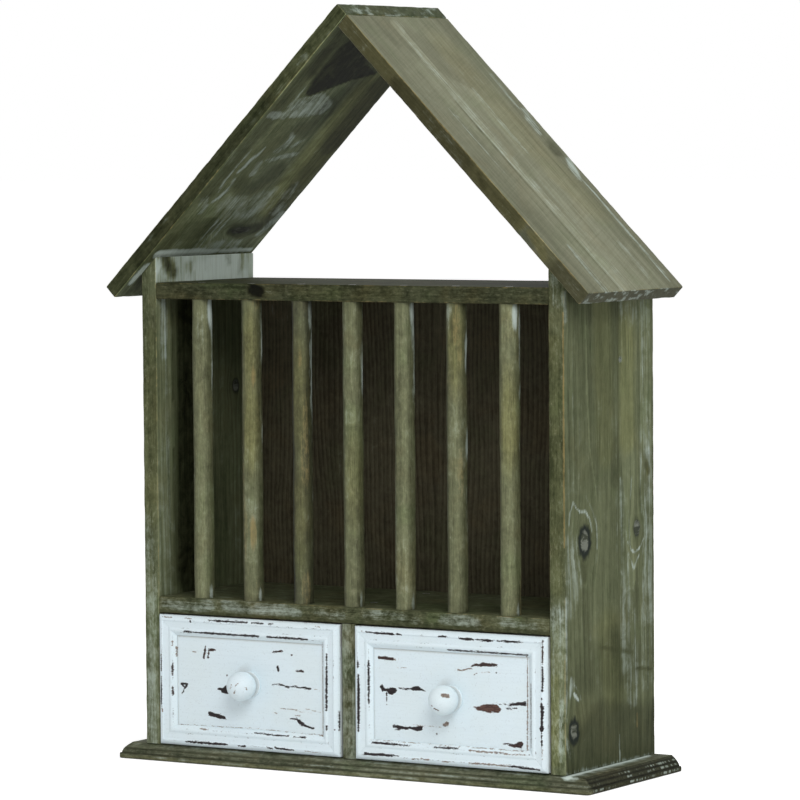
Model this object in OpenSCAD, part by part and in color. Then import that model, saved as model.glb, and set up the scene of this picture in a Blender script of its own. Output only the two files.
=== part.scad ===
// House-shaped bookshelf: a pine case with a pitched roof, seven front rods and two drawers.
// Millimetres. +Z is up, +X is to the right seen from the front, and the front faces -Y.
// The origin is the middle of the overall outline, on the underside of the base board.

/* [Case] */
// Width over the two side panels
case_w = 500; // [440:5:620]
// Depth of the side panels
case_d = 183; // [160:1:240]
// Thickness of the side panels
side_t = 18; // [14:0.5:24]
// Thickness of the two shelves
shelf_t = 17; // [14:0.5:24]
// Clear height of the drawer bays
drawer_bay_h = 137; // [125:1:170]
// Clear height of the book bay
book_bay_h = 307; // [240:1:380]
// Thickness of the divider between the drawers
divider_t = 16; // [14:0.5:24]
// How far the divider stands to the left of the middle
divider_off = 1.5; // [0:0.5:15]
// Thickness of the back panel
back_t = 6; // [4:0.5:9]

/* [Base board] */
// Thickness of the base board
base_t = 16; // [14:0.5:22]
// How far the base board stands out in front of the case
base_front = 9; // [4:0.5:20]
// How far the base board stands out beside the case
base_side = 30; // [14:1:40]
// Height of the square lower edge of the base board
base_edge_h = 5.5; // [4:0.5:8]
// Width of the small ledge above the square edge
base_ledge = 2; // [1:0.5:3]
// Width of the rounded slope above the ledge
base_slope_w = 7.8; // [5:0.2:10]
// How far the rounded slope bulges out
base_bulge = 0.9; // [0.2:0.1:1.6]
// Height of the small step under the flat top
base_step = 1; // [0.5:0.25:2]
// Radius of the two front corners of the base board
base_corner_r = 5; // [2:0.5:8]

/* [Roof] */
// Pitch of both roof slopes, in degrees
roof_pitch = 45; // [38:1:52]
// Thickness of the roof boards
roof_t = 16; // [13:0.5:22]
// Height of the outer faces of the side panels above the top shelf
side_rise = 8.5; // [4:0.5:60]
// Length of the eaves past the side panels, along the slope
eave = 50.5; // [25:0.5:90]
// How far the roof stands out in front of the case
roof_front = 14; // [0:1:25]
// How far the roof stops short of the back of the case
roof_back_set = 2; // [0:0.5:8]
// Worn arris of the ridge, measured down the left slope
ridge_wear = 8; // [2:0.5:10]

/* [Rods] */
// Diameter of the upright rods
rod_d = 22; // [16:0.5:28]
// Number of upright rods
rod_count = 7; // [4:1:9]

/* [Drawers] */
// Gap round each drawer front
front_gap = 1.3; // [0.8:0.1:2.5]
// Thickness of the drawer front boards
drawer_front_t = 12; // [10:0.5:18]
// Width of the moulding on the drawer fronts
moulding_w = 21; // [18:0.5:30]
// Height of the moulding above the drawer front board
moulding_h = 5.5; // [4.5:0.25:8]
// Thickness of the sides and the back of the drawer boxes
drawer_board_t = 10; // [8:0.5:14]
// Height of the drawer boxes
drawer_box_h = 105; // [80:1:120]
// Thickness of the drawer bottoms
drawer_bottom_t = 4; // [3:0.5:6]
// Height of the drawer bottoms above the lower edges of the box
bottom_rise = 6; // [4:0.5:10]
// Depth of the grooves that hold the drawer bottoms
groove_depth = 5; // [3:0.5:6]
// Gap between a drawer box and the sides of its bay
box_gap = 1.5; // [1:0.1:3]
// Gap between a drawer box and the back panel
drawer_back_gap = 1; // [0.5:0.25:4]
// Running gap under a closed drawer
run_gap = 0.3; // [0.2:0.1:1]

/* [Knobs] */
// Diameter of the ball of a knob
knob_d = 30; // [24:0.5:36]
// How far a knob stands out from the drawer front board
knob_reach = 30.5; // [30:0.5:42]
// Diameter of the neck of a knob
knob_neck_d = 15; // [12:0.5:20]
// Diameter of the round foot of a knob
knob_foot_d = 27; // [22:0.5:34]
// Thickness of the foot of a knob
knob_foot_t = 2.5; // [1.5:0.5:5]

/* [Fasteners] */
// Diameter of the wood screws
screw_d = 4; // [3:0.25:5]
// Length of the wood screws
screw_len = 40; // [35:1:50]
// Diameter of the countersunk screw heads
screw_head_d = 8; // [6:0.25:10]
// Diameter of the shelf dowels
dowel_d = 8; // [6:0.5:10]
// Length of a shelf dowel inside the side panel
dowel_in_side = 10; // [6:0.5:12]
// Length of a shelf dowel inside the shelf
dowel_in_shelf = 20; // [12:1:30]
// Distance of the outer fasteners from the front and the back
fastener_inset = 25; // [18:1:40]
// Diameter of the roof nails
roof_nail_d = 2.4; // [1.6:0.2:3]
// Length of the roof nails
roof_nail_len = 50; // [35:1:60]
// Depth of the roof nail heads under the surface
nail_sink = 4; // [3:0.5:6]
// How far the roof nails stand behind the dowels
nail_shift = 12; // [10:0.5:15]
// Diameter of the panel and drawer nails
pin_d = 1.4; // [1:0.2:2]
// Length of the panel and drawer nails
pin_len = 25; // [20:1:30]
// Diameter of the knob screws
knob_screw_d = 4; // [3:0.25:5]
// Length of a knob screw inside the knob
knob_screw_in = 13; // [8:0.5:15]
// Gap between a fastener and its hole
hole_gap = 0.1; // [0.05:0.05:0.2]

/* [Hidden] */
$fn = 48;
// Cuts reach this far past the faces they open
past = 1;

// Overall depth, and the planes of the case along Y
front_reach = max(knob_reach, roof_front, base_front, moulding_h);
overall_d = case_d + front_reach;
y_front = front_reach - overall_d / 2;
y_back = y_front + case_d;
y_panel = y_back - back_t;

// Planes of the case along X
x_out = case_w / 2;
x_in = x_out - side_t;
divider_x = -divider_off;

// Levels of the case along Z
z_base = base_t;
z_middle = z_base + drawer_bay_h;
z_books = z_middle + shelf_t;
z_top = z_books + book_bay_h;
z_gable = z_top + shelf_t;

// Roof: the outer planes of the two slopes meet at the ridge
roof_drop = roof_t / cos(roof_pitch);
z_ridge = z_gable + side_rise + x_out * tan(roof_pitch) + roof_drop;
slope_len = x_out / cos(roof_pitch) + eave;
roof_lap = roof_t / sin(2 * roof_pitch);
ridge_wear_right = 1;
ridge = [0, z_ridge];
ridge_under = [0, z_ridge - roof_drop];

// Wood screw: a cone under a flat head, then a straight shank
screw_head_h = (screw_head_d - screw_d) / 2;
// Nail heads are this much wider than the shank, and this thick
nail_head_extra = 1.6;
nail_head_t = 1;

// Drawer boxes run back from the front board to the drawer back
y_box = y_front + drawer_front_t;
y_box_end = y_panel - drawer_back_gap;
z_box = z_base + run_gap;
z_bottom = z_box + bottom_rise;
z_bottom_top = z_bottom + drawer_bottom_t;
z_box_top = z_box + drawer_box_h;
z_knob = z_base + drawer_bay_h / 2;
pin_inset = 22;
divider_nail_apart = 15;

// Steps of the moulding on the drawer fronts, from its outer edge inwards
moulding_edge_h = 1;
moulding_round_w = 5.5;
moulding_round_h = 1;
moulding_step = 0.8;
moulding_bead_in = 8;
moulding_bead_out = 3.5;
moulding_bead_h = 1;
moulding_foot_h = 0.8;

// Knob screw head, inside the drawer
knob_screw_head_d = 8;
knob_screw_head_t = 2.6;

STAIN = [0.42, 0.43, 0.33];
ROOF_STAIN = [0.49, 0.48, 0.38];
PAINT = [0.88, 0.91, 0.92];
RAW = [0.74, 0.62, 0.44];
STEEL = [0.62, 0.62, 0.64];

SIDES = ["left", "right"];
DRAWER_PIECES = ["front", "top_moulding", "bottom_moulding", "left_moulding", "right_moulding",
    "left_side", "right_side", "back", "bottom", "knob", "knob_screw", "nails"];

// Points of an arc from a to b that bulges to the left of the way from a to b
function bulged(a, b, bulge, steps = 6) =
    let (chord = b - a, long = norm(chord), radius = (long * long / 4 + bulge * bulge) / (2 * bulge),
        across = [-chord.y, chord.x] / long, middle = (a + b) / 2 - across * (radius - bulge),
        half = asin(long / 2 / radius))
    [for (i = [0:steps]) let (t = half - 2 * half * i / steps)
        middle + radius * (across * cos(t) - chord / long * sin(t))];

// Places of the fasteners
function three(low, high) = [low, (low + high) / 2, high];
rod_pitch = (2 * x_in - rod_count * rod_d) / (rod_count + 1) + rod_d;
rod_y = y_front + rod_d / 2;
function rod_x(i) = -x_in - rod_d / 2 + i * rod_pitch;
side_mid = x_out - side_t / 2;
depth_places = three(y_front + fastener_inset, y_panel - fastener_inset);
nail_places = [for (y = depth_places) y + nail_shift];
divider_places = [y_front + 2 * fastener_inset, y_panel - fastener_inset];
back_nail_places = [for (k = [-3:2:3]) k * x_in / 4];
divider_nail_places = [for (k = [-1, 1]) (z_base + z_middle) / 2 + k * divider_nail_apart];
pin_heights = [z_bottom_top + pin_inset, z_box_top - pin_inset];

// A block between two corners
module block(low, high) {
    translate(low) cube(high - low);
}

// A shape in the XZ plane, drawn from one Y plane to another
module along_y(from, to) {
    translate([0, to, 0]) rotate([90, 0, 0]) linear_extrude(to - from) children();
}

// A shape in the YZ plane, drawn from one X plane to another
module along_x(from, to) {
    translate([from, 0, 0]) rotate([90, 0, 90]) linear_extrude(to - from) children();
}

// A countersunk wood screw that points down from its head's flat top
module wood_screw(grow = 0) {
    translate([0, 0, -screw_head_h])
        cylinder(h = screw_head_h, d1 = screw_d + 2 * grow, d2 = screw_head_d + 2 * grow);
    translate([0, 0, -screw_len - grow]) cylinder(h = screw_len, d = screw_d + 2 * grow);
}

// The hole of a wood screw, open above its head
module screw_hole() {
    wood_screw(hole_gap);
    cylinder(h = past, d = screw_head_d + 2 * hole_gap);
}

// A nail that points down from its head's flat top
module nail(d, long, grow = 0) {
    translate([0, 0, -nail_head_t - grow])
        cylinder(h = nail_head_t + grow, d = d + nail_head_extra + 2 * grow);
    translate([0, 0, -long - grow]) cylinder(h = long, d = d + 2 * grow);
}

// The hole of a nail, open above its head by as much as over says
module nail_hole(d, long, over) {
    nail(d, long, hole_gap);
    cylinder(h = over, d = d + nail_head_extra + 2 * hole_gap);
}

// Screws up through the base board into the sides and the divider, and down into the divider
module place_case_screws() {
    for (x = [-side_mid, side_mid], y = depth_places) translate([x, y, 0]) rotate([180, 0, 0]) children();
    for (y = divider_places) {
        translate([divider_x, y, 0]) rotate([180, 0, 0]) children();
        translate([divider_x, y, z_books]) children();
    }
}

// Screws through both shelves into the ends of the rods
module place_rod_screws() {
    for (i = [1:rod_count]) {
        translate([rod_x(i), rod_y, z_gable]) children();
        translate([rod_x(i), rod_y, z_middle]) rotate([180, 0, 0]) children();
    }
}

// Dowels between the shelf ends and the side panels, drawn along +X from inside the left panel
module place_shelf_dowels() {
    for (s = [0, 1], y = depth_places, z = [z_middle + shelf_t / 2, z_top + shelf_t / 2])
        mirror([s, 0, 0]) translate([-x_in - dowel_in_side, y, z]) rotate([0, 90, 0]) children();
}

// Nails from the roof boards straight down into the side panels
module place_roof_nails() {
    for (x = [-side_mid, side_mid], y = nail_places)
        translate([x, y, z_ridge - side_mid * tan(roof_pitch) - nail_sink]) children();
}

// Nails through the left roof board into the square end of the right one
module place_ridge_nails() {
    start = [-cos(roof_pitch), -sin(roof_pitch)] * roof_lap / 2
        + [cos(roof_pitch), -sin(roof_pitch)] * nail_sink + ridge;
    for (y = nail_places) translate([start.x, y, start.y]) rotate([0, roof_pitch - 90, 0]) children();
}

// Nails through the back panel into the shelves and the divider
module place_back_nails() {
    for (x = back_nail_places, z = [z_middle + shelf_t / 2, z_top + shelf_t / 2])
        translate([x, y_back, z]) rotate([-90, 0, 0]) children();
    for (z = divider_nail_places) translate([divider_x, y_back, z]) rotate([-90, 0, 0]) children();
}

// Holes of the fasteners; the wood over the sunk roof nails is left whole
module case_screw_holes() { place_case_screws() { screw_hole(); } }
module rod_screw_holes() { place_rod_screws() { screw_hole(); } }
module roof_nail_holes() { place_roof_nails() { nail_hole(roof_nail_d, roof_nail_len, hole_gap); } }
module ridge_nail_holes() { place_ridge_nails() { nail_hole(roof_nail_d, roof_nail_len, hole_gap); } }
module back_nail_holes() { place_back_nails() { nail_hole(pin_d, pin_len, past); } }
module shelf_dowel_holes() {
    place_shelf_dowels() {
        translate([0, 0, -hole_gap])
            cylinder(h = dowel_in_side + dowel_in_shelf + 2 * hole_gap, d = dowel_d + 2 * hole_gap);
    }
}

// Section of the moulded edge of the base board, from the outside inwards and upwards
base_edge = concat([[0, 0], [0, base_edge_h]],
    bulged([base_ledge, base_edge_h], [base_ledge + base_slope_w, base_t - base_step], base_bulge),
    [[base_ledge + base_slope_w + base_step, base_t]]);

module base_board() {
    half = x_out + base_side;
    nose = y_front - base_front;
    front_edge = [for (p = base_edge) [nose + p.x, p.y]];
    left_edge = [for (p = base_edge) [p.x - half, p.y]];
    right_edge = [for (i = [len(base_edge) - 1:-1:0]) [half - base_edge[i].x, base_edge[i].y]];
    color(STAIN) difference() {
        intersection() {
            along_x(-half, half) polygon(concat(front_edge, [[y_back, base_t], [y_back, 0]]));
            along_y(nose, y_back) polygon(concat(left_edge, right_edge));
            union() {
                block([-half, nose + base_corner_r, 0], [half, y_back, base_t]);
                block([-half + base_corner_r, nose, 0], [half - base_corner_r, y_back, base_t]);
                for (x = [-half + base_corner_r, half - base_corner_r])
                    translate([x, nose + base_corner_r, 0]) cylinder(h = base_t, r = base_corner_r);
            }
        }
        case_screw_holes();
    }
}

// A side panel: its top is cut to the slope of the roof
module side_panel(s) {
    color(STAIN) difference() {
        mirror([s, 0, 0]) along_y(y_front, y_back) polygon([
            [-x_out, z_base], [-x_in, z_base],
            [-x_in, ridge_under.y - x_in * tan(roof_pitch)],
            [-x_out, ridge_under.y - x_out * tan(roof_pitch)]]);
        case_screw_holes();
        shelf_dowel_holes();
        roof_nail_holes();
    }
}

module middle_shelf() {
    color(STAIN) difference() {
        block([-x_in, y_front, z_middle], [x_in, y_panel, z_books]);
        case_screw_holes();
        rod_screw_holes();
        shelf_dowel_holes();
        back_nail_holes();
    }
}

module top_shelf() {
    color(STAIN) difference() {
        block([-x_in, y_front, z_top], [x_in, y_panel, z_gable]);
        rod_screw_holes();
        shelf_dowel_holes();
        back_nail_holes();
    }
}

module drawer_divider() {
    color(STAIN) difference() {
        block([divider_x - divider_t / 2, y_front, z_base], [divider_x + divider_t / 2, y_panel, z_middle]);
        case_screw_holes();
        back_nail_holes();
    }
}

module back_panel() {
    color(STAIN) difference() {
        block([-x_in, y_panel, z_base], [x_in, y_back, z_gable]);
        back_nail_holes();
    }
}

module rod(i) {
    color(STAIN) difference() {
        translate([rod_x(i), rod_y, z_books]) cylinder(h = book_bay_h, d = rod_d);
        rod_screw_holes();
    }
}

// The left roof board runs up to the ridge, and its square end shows beside the right one
module left_roof_board() {
    down = [-cos(roof_pitch), -sin(roof_pitch)];
    inward = [sin(roof_pitch), -cos(roof_pitch)];
    right_down = [cos(roof_pitch), -sin(roof_pitch)];
    color(ROOF_STAIN) difference() {
        along_y(y_front - roof_front, y_back - roof_back_set) polygon([
            ridge + down * ridge_wear, ridge + down * slope_len, ridge + down * slope_len + inward * roof_t,
            ridge_under, ridge + right_down * roof_lap, ridge + right_down * ridge_wear_right]);
        roof_nail_holes();
        ridge_nail_holes();
    }
}

// The right roof board butts against the underside of the left one
module right_roof_board() {
    down = [cos(roof_pitch), -sin(roof_pitch)];
    inward = [-sin(roof_pitch), -cos(roof_pitch)];
    color(ROOF_STAIN) difference() {
        along_y(y_front - roof_front, y_back - roof_back_set) polygon([
            ridge + down * roof_lap, ridge + down * slope_len, ridge + down * slope_len + inward * roof_t,
            ridge_under]);
        roof_nail_holes();
        ridge_nail_holes();
    }
}

// Bay of a drawer along X, and the outline of its front board
function bay_low(s) = s == "left" ? -x_in : divider_x + divider_t / 2;
function bay_high(s) = s == "left" ? divider_x - divider_t / 2 : x_in;
function front_low(s) = [bay_low(s) + front_gap, z_base + front_gap];
function front_high(s) = [bay_high(s) - front_gap, z_middle - front_gap];
function bay_mid(s) = (bay_low(s) + bay_high(s)) / 2;
function box_low(s) = bay_low(s) + box_gap;
function box_high(s) = bay_high(s) - box_gap;

// Nails through the front board into the box sides, and through the box sides into the back
module place_drawer_nails(s) {
    for (z = pin_heights) {
        for (x = [box_low(s) + drawer_board_t / 2, box_high(s) - drawer_board_t / 2])
            translate([x, y_front, z]) rotate([90, 0, 0]) children();
        translate([box_low(s), y_box_end - drawer_board_t / 2, z]) rotate([0, -90, 0]) children();
        translate([box_high(s), y_box_end - drawer_board_t / 2, z]) rotate([0, 90, 0]) children();
    }
}

module drawer_nail_holes(s) { place_drawer_nails(s) { nail_hole(pin_d, pin_len, past); } }

// The drawer bottom; grow makes the grooves that hold it
module bottom_board(s, grow = 0) {
    block([box_low(s) + drawer_board_t - groove_depth - grow, y_box - groove_depth - grow, z_bottom - grow],
        [box_high(s) - drawer_board_t + groove_depth + grow, y_box_end, z_bottom_top + grow]);
}

module drawer_front(s) {
    color(PAINT) difference() {
        block([front_low(s).x, y_front, front_low(s).y], [front_high(s).x, y_box, front_high(s).y]);
        bottom_board(s, hole_gap);
        drawer_nail_holes(s);
        translate([bay_mid(s), y_front - past, z_knob]) rotate([-90, 0, 0])
            cylinder(h = drawer_front_t + 2 * past, d = knob_screw_d + 2 * hole_gap);
    }
}

// Section of the moulding: how far in from the outer edge, and how far out from the board
moulding_flat = moulding_h - moulding_step;
moulding_low = moulding_flat - moulding_step;
moulding_bead = moulding_w - moulding_bead_in;
moulding_section = concat(
    [[0, 0]],
    bulged([0, moulding_edge_h], [moulding_round_w, moulding_h], moulding_round_h),
    [[moulding_round_w + moulding_step, moulding_flat], [moulding_bead - moulding_step, moulding_low]],
    bulged([moulding_bead, moulding_low], [moulding_w - moulding_bead_out, moulding_low], moulding_bead_h),
    [[moulding_w, moulding_foot_h], [moulding_w, 0]]);

// A straight strip of moulding with mitred ends, along +X with its outer edge on the X axis
module moulding_strip(long) {
    intersection() {
        rotate([90, 0, 90]) linear_extrude(long) polygon([for (p = moulding_section) [p.y, p.x]]);
        translate([0, -past, 0]) rotate([-90, 0, 0]) linear_extrude(moulding_h + 2 * past)
            polygon([[0, 0], [long, 0], [long - moulding_w, -moulding_w], [moulding_w, -moulding_w]]);
    }
}

// The four strips round a drawer front; turn is 0 bottom, 1 right, 2 top, 3 left
module drawer_moulding(s, turn) {
    low = front_low(s);
    high = front_high(s);
    size = high - low;
    start = [low, [high.x, low.y], high, [low.x, high.y]][turn];
    color(PAINT) translate([start.x, y_front, start.y]) mirror([0, 1, 0]) rotate([0, -90 * turn, 0])
        moulding_strip(turn % 2 == 0 ? size.x : size.y);
}

module drawer_side(s, high_side) {
    x = high_side ? box_high(s) - drawer_board_t : box_low(s);
    color(RAW) difference() {
        block([x, y_box, z_box], [x + drawer_board_t, y_box_end, z_box_top]);
        translate([0, past, 0]) bottom_board(s, hole_gap);
        bottom_board(s, hole_gap);
        drawer_nail_holes(s);
    }
}

module drawer_back(s) {
    color(RAW) difference() {
        block([box_low(s) + drawer_board_t, y_box_end - drawer_board_t, z_bottom_top],
            [box_high(s) - drawer_board_t, y_box_end, z_box_top]);
        drawer_nail_holes(s);
    }
}

module drawer_bottom(s) {
    color(RAW) bottom_board(s);
}

// A ball on a short neck and a round foot, turned about the axis of its screw
module drawer_knob(s) {
    ball_mid = knob_reach - knob_d / 2;
    color(PAINT) translate([bay_mid(s), y_front, z_knob]) rotate([90, 0, 0]) difference() {
        rotate_extrude() intersection() {
            square([knob_d, knob_reach]);
            union() {
                square([knob_foot_d / 2, knob_foot_t / 2]);
                square([knob_foot_d / 2 - knob_foot_t / 4, knob_foot_t]);
                square([knob_neck_d / 2, ball_mid]);
                translate([0, ball_mid]) circle(d = knob_d);
            }
        }
        translate([0, 0, -past])
            cylinder(h = past + knob_screw_in + hole_gap, d = knob_screw_d + 2 * hole_gap);
    }
}

module drawer_knob_screw(s) {
    color(STEEL) translate([bay_mid(s), y_box, z_knob]) rotate([90, 0, 0]) {
        cylinder(h = drawer_front_t + knob_screw_in, d = knob_screw_d);
        translate([0, 0, -knob_screw_head_t]) cylinder(h = knob_screw_head_t, d = knob_screw_head_d);
    }
}

module case_screws() { color(STEEL) place_case_screws() { wood_screw(); } }
module rod_screws() { color(STEEL) place_rod_screws() { wood_screw(); } }
module roof_nails() { color(STEEL) place_roof_nails() { nail(roof_nail_d, roof_nail_len); } }
module ridge_nails() { color(STEEL) place_ridge_nails() { nail(roof_nail_d, roof_nail_len); } }
module back_nails() { color(STEEL) place_back_nails() { nail(pin_d, pin_len); } }
module drawer_nails(s) { color(STEEL) place_drawer_nails(s) { nail(pin_d, pin_len); } }
module shelf_dowels() {
    color(RAW) place_shelf_dowels() { cylinder(h = dowel_in_side + dowel_in_shelf, d = dowel_d); }
}

base_board();
side_panel(0);  // left_side
side_panel(1);  // right_side
middle_shelf();
top_shelf();
drawer_divider();
back_panel();
for (i = [1:rod_count]) rod(i);
left_roof_board();
right_roof_board();
for (s = SIDES) {
    drawer_front(s);
    drawer_moulding(s, 0);
    drawer_moulding(s, 1);
    drawer_moulding(s, 2);
    drawer_moulding(s, 3);
    drawer_side(s, false);
    drawer_side(s, true);
    drawer_back(s);
    drawer_bottom(s);
    drawer_knob(s);
    drawer_knob_screw(s);
    drawer_nails(s);
}
case_screws();
rod_screws();
shelf_dowels();
roof_nails();
ridge_nails();
back_nails();
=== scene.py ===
"""House-shaped bookshelf: the looks of the painted and stained case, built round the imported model."""
import math

import bpy
import numpy as np
from mathutils import Matrix, Vector


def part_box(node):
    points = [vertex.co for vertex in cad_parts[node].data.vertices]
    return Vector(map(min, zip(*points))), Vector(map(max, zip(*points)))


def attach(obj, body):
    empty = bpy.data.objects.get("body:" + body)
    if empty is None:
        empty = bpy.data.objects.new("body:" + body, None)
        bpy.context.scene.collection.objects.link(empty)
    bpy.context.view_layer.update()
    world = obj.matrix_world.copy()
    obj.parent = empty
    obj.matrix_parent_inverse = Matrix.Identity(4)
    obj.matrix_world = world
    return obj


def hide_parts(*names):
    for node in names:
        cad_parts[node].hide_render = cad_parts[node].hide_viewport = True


bl_info = {
    "name": "House Bookshelf",
    "version": (1, 0, 0),
    "blender": (4, 5, 0),
    "location": "3D View > Sidebar > Bookshelf",
    "description": "Dresses a house-shaped bookshelf with stained boards, rods and painted drawers",
    "category": "Object",
}

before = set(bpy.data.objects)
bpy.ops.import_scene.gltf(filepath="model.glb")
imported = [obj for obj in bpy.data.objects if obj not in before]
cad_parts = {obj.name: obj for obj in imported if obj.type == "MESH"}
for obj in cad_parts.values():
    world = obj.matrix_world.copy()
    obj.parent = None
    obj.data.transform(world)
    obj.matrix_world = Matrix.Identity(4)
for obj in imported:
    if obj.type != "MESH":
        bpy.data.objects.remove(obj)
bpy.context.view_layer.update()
MM = 0.001


def srgb(red, green, blue):
    """A colour as it looks on a screen, 0 to 255, as the linear colour that a shader takes."""
    def linear(value):
        value /= 255
        return value / 12.92 if value <= 0.04045 else ((value + 0.055) / 1.055) ** 2.4
    return (linear(red), linear(green), linear(blue), 1.0)


# ---- Settings that a user would change ----

class BookshelfCamera(bpy.types.PropertyGroup):
    place: bpy.props.FloatVectorProperty(
        name="Place", description="Where the camera stands", size=3, subtype="TRANSLATION", unit="LENGTH",
        default=(2.3730851, -3.8271440, 0.6360048), precision=5)
    yaw: bpy.props.FloatProperty(
        name="Yaw", description="Turn of the view from straight at the front", subtype="ANGLE",
        default=math.radians(31.638055))
    pitch: bpy.props.FloatProperty(
        name="Pitch", description="Tilt of the view downwards", subtype="ANGLE", default=math.radians(3.324564))
    roll: bpy.props.FloatProperty(
        name="Roll", description="Turn of the picture about the view", subtype="ANGLE",
        default=math.radians(-0.418627))
    lens: bpy.props.FloatProperty(
        name="Lens", description="Focal length in millimetres on a 36 mm sensor", default=199.476263, min=20)


class BookshelfLight(bpy.types.PropertyGroup):
    sky: bpy.props.FloatProperty(
        name="Sky", description="Brightness of the even light from all round", default=0.5, min=0)
    key: bpy.props.FloatProperty(
        name="Key", description="Power of the large soft lamp at the front right, in watts", default=46.0, min=0)
    top: bpy.props.FloatProperty(
        name="Top", description="Power of the lamp above, in watts", default=18.0, min=0)
    floor: bpy.props.FloatVectorProperty(
        name="Floor", description="Colour of the floor and the backdrop", size=3, subtype="COLOR",
        default=(0.92, 0.92, 0.92), min=0, max=1)


class BookshelfWood(bpy.types.PropertyGroup):
    arris: bpy.props.FloatProperty(
        name="Arris", description="Radius of the rubbed edges of the boards", default=1.5 * MM, unit="LENGTH")
    wear: bpy.props.FloatProperty(
        name="Wear", description="Depth of the dents along the edges", default=0.7 * MM, unit="LENGTH")
    wash: bpy.props.FloatVectorProperty(
        name="Wash", description="Colour of the pale wash over the stain", size=3, subtype="COLOR",
        default=srgb(174, 187, 178)[:3], min=0, max=1)
    rubbed: bpy.props.FloatVectorProperty(
        name="Rubbed wood", description="Colour of the wood where the stain is rubbed off", size=3, subtype="COLOR",
        default=srgb(140, 122, 78)[:3], min=0, max=1)


class BookshelfPaint(bpy.types.PropertyGroup):
    coat: bpy.props.FloatVectorProperty(
        name="Coat", description="Colour of the drawers' paint", size=3, subtype="COLOR",
        default=srgb(223, 237, 243)[:3], min=0, max=1)
    bare: bpy.props.FloatVectorProperty(
        name="Bare", description="Colour of the darkest wood in the chips", size=3, subtype="COLOR",
        default=srgb(34, 25, 26)[:3], min=0, max=1)
    brown: bpy.props.FloatVectorProperty(
        name="Brown", description="Colour of the lighter wood in the chips", size=3, subtype="COLOR",
        default=srgb(96, 70, 60)[:3], min=0, max=1)
    grid: bpy.props.FloatProperty(
        name="Grid", description="Spacing of the points on the painted fronts", default=1 * MM, unit="LENGTH")


GROUPS = {"bookshelf_camera": BookshelfCamera, "bookshelf_light": BookshelfLight,
          "bookshelf_wood": BookshelfWood, "bookshelf_paint": BookshelfPaint}


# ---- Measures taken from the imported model, in millimetres ----

def low(node):
    return np.array(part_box(node)[0]) / MM


def high(node):
    return np.array(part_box(node)[1]) / MM


FRONT = low("middle_shelf")[1]
SHELF_TOP = high("middle_shelf")[2]
BAY_TOP = low("top_shelf")[2]
OUTER = high("right_side")[0]
INNER = low("right_side")[0]
RIDGE = high("left_roof_board")[2] + 1 / math.sqrt(2)
ROOF_THICK = 16.0
SLOPE = math.radians(45)
ROOF_LONG = high("right_roof_board")[0] / math.cos(SLOPE)
ROOF_FRONT = low("right_roof_board")[1]
UNDER_ROOF = RIDGE - ROOF_THICK / math.cos(SLOPE)
PANEL_TOP = UNDER_ROOF - (OUTER + INNER) / 2
RODS = range(1, 8)


# ---- Shapes ----

FAR, NONE = 1e9, 1e-9
GUARD = 3.0  # close grid lines reach this far past a rounded edge
HALF_TURN = 0.586  # share of an edge's radius at which its arc has turned halfway
STRIDE = 10000  # more than a board has grid lines on one side
# Large numbers that scatter neighbouring places of a grid
SCATTER, SCATTER_AGAIN, LARGEST = (73856093, 19349663, 83492791), 1274126177, 0x7fffffff


def unit(values):
    return np.clip(values, 0, 1)


def eased(share):
    """A share from 0 to 1 with soft ends."""
    share = unit(share)
    return share * share * (3 - 2 * share)


def band(values, middle, half):
    """1 at the middle, falling to 0 half a width away."""
    return unit(1 - np.abs(values - middle) / half)


def smooth_noise(points, size, seed):
    """Even noise between -1 and 1 with bumps about size across; size may differ along X, Y and Z."""
    place = np.asarray(points, float) / np.asarray(size, float) + seed * 31.7
    cell = np.floor(place).astype(np.int64)
    part = eased(place - cell)
    total = np.zeros(len(place))
    for corner in np.ndindex(2, 2, 2):
        mixed = np.bitwise_xor.reduce((cell + corner) * SCATTER, axis=1)
        mixed = (mixed ^ (mixed >> 13)) * SCATTER_AGAIN & LARGEST
        share = np.prod(np.where(np.array(corner) == 1, part, 1 - part), axis=1)
        total += share * (mixed / (LARGEST // 2) - 1)
    return total


def grid_lines(start, end, edge, grid, fine=None):
    """Places of the grid lines across one side of a board, close together over its rounded edges."""
    near = [0, HALF_TURN * edge, edge, edge + 0.8, edge + GUARD]
    size = end - start
    if size < 2 * (edge + GUARD):
        near = near[:3] + [edge + 0.25 * (size - 2 * edge)]
    first, last = start + near[-1], end - near[-1]
    inner = list(np.linspace(first, last, max(2, round((last - first) / grid) + 1)))
    if fine:
        at, to, step = fine
        inner = [x for x in inner if x < at - step or x > to + step] + list(np.arange(at, to + step / 2, step))
    return np.array([start + x for x in near[:-1]] + sorted(inner) + [end - x for x in near[-2::-1]])


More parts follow.
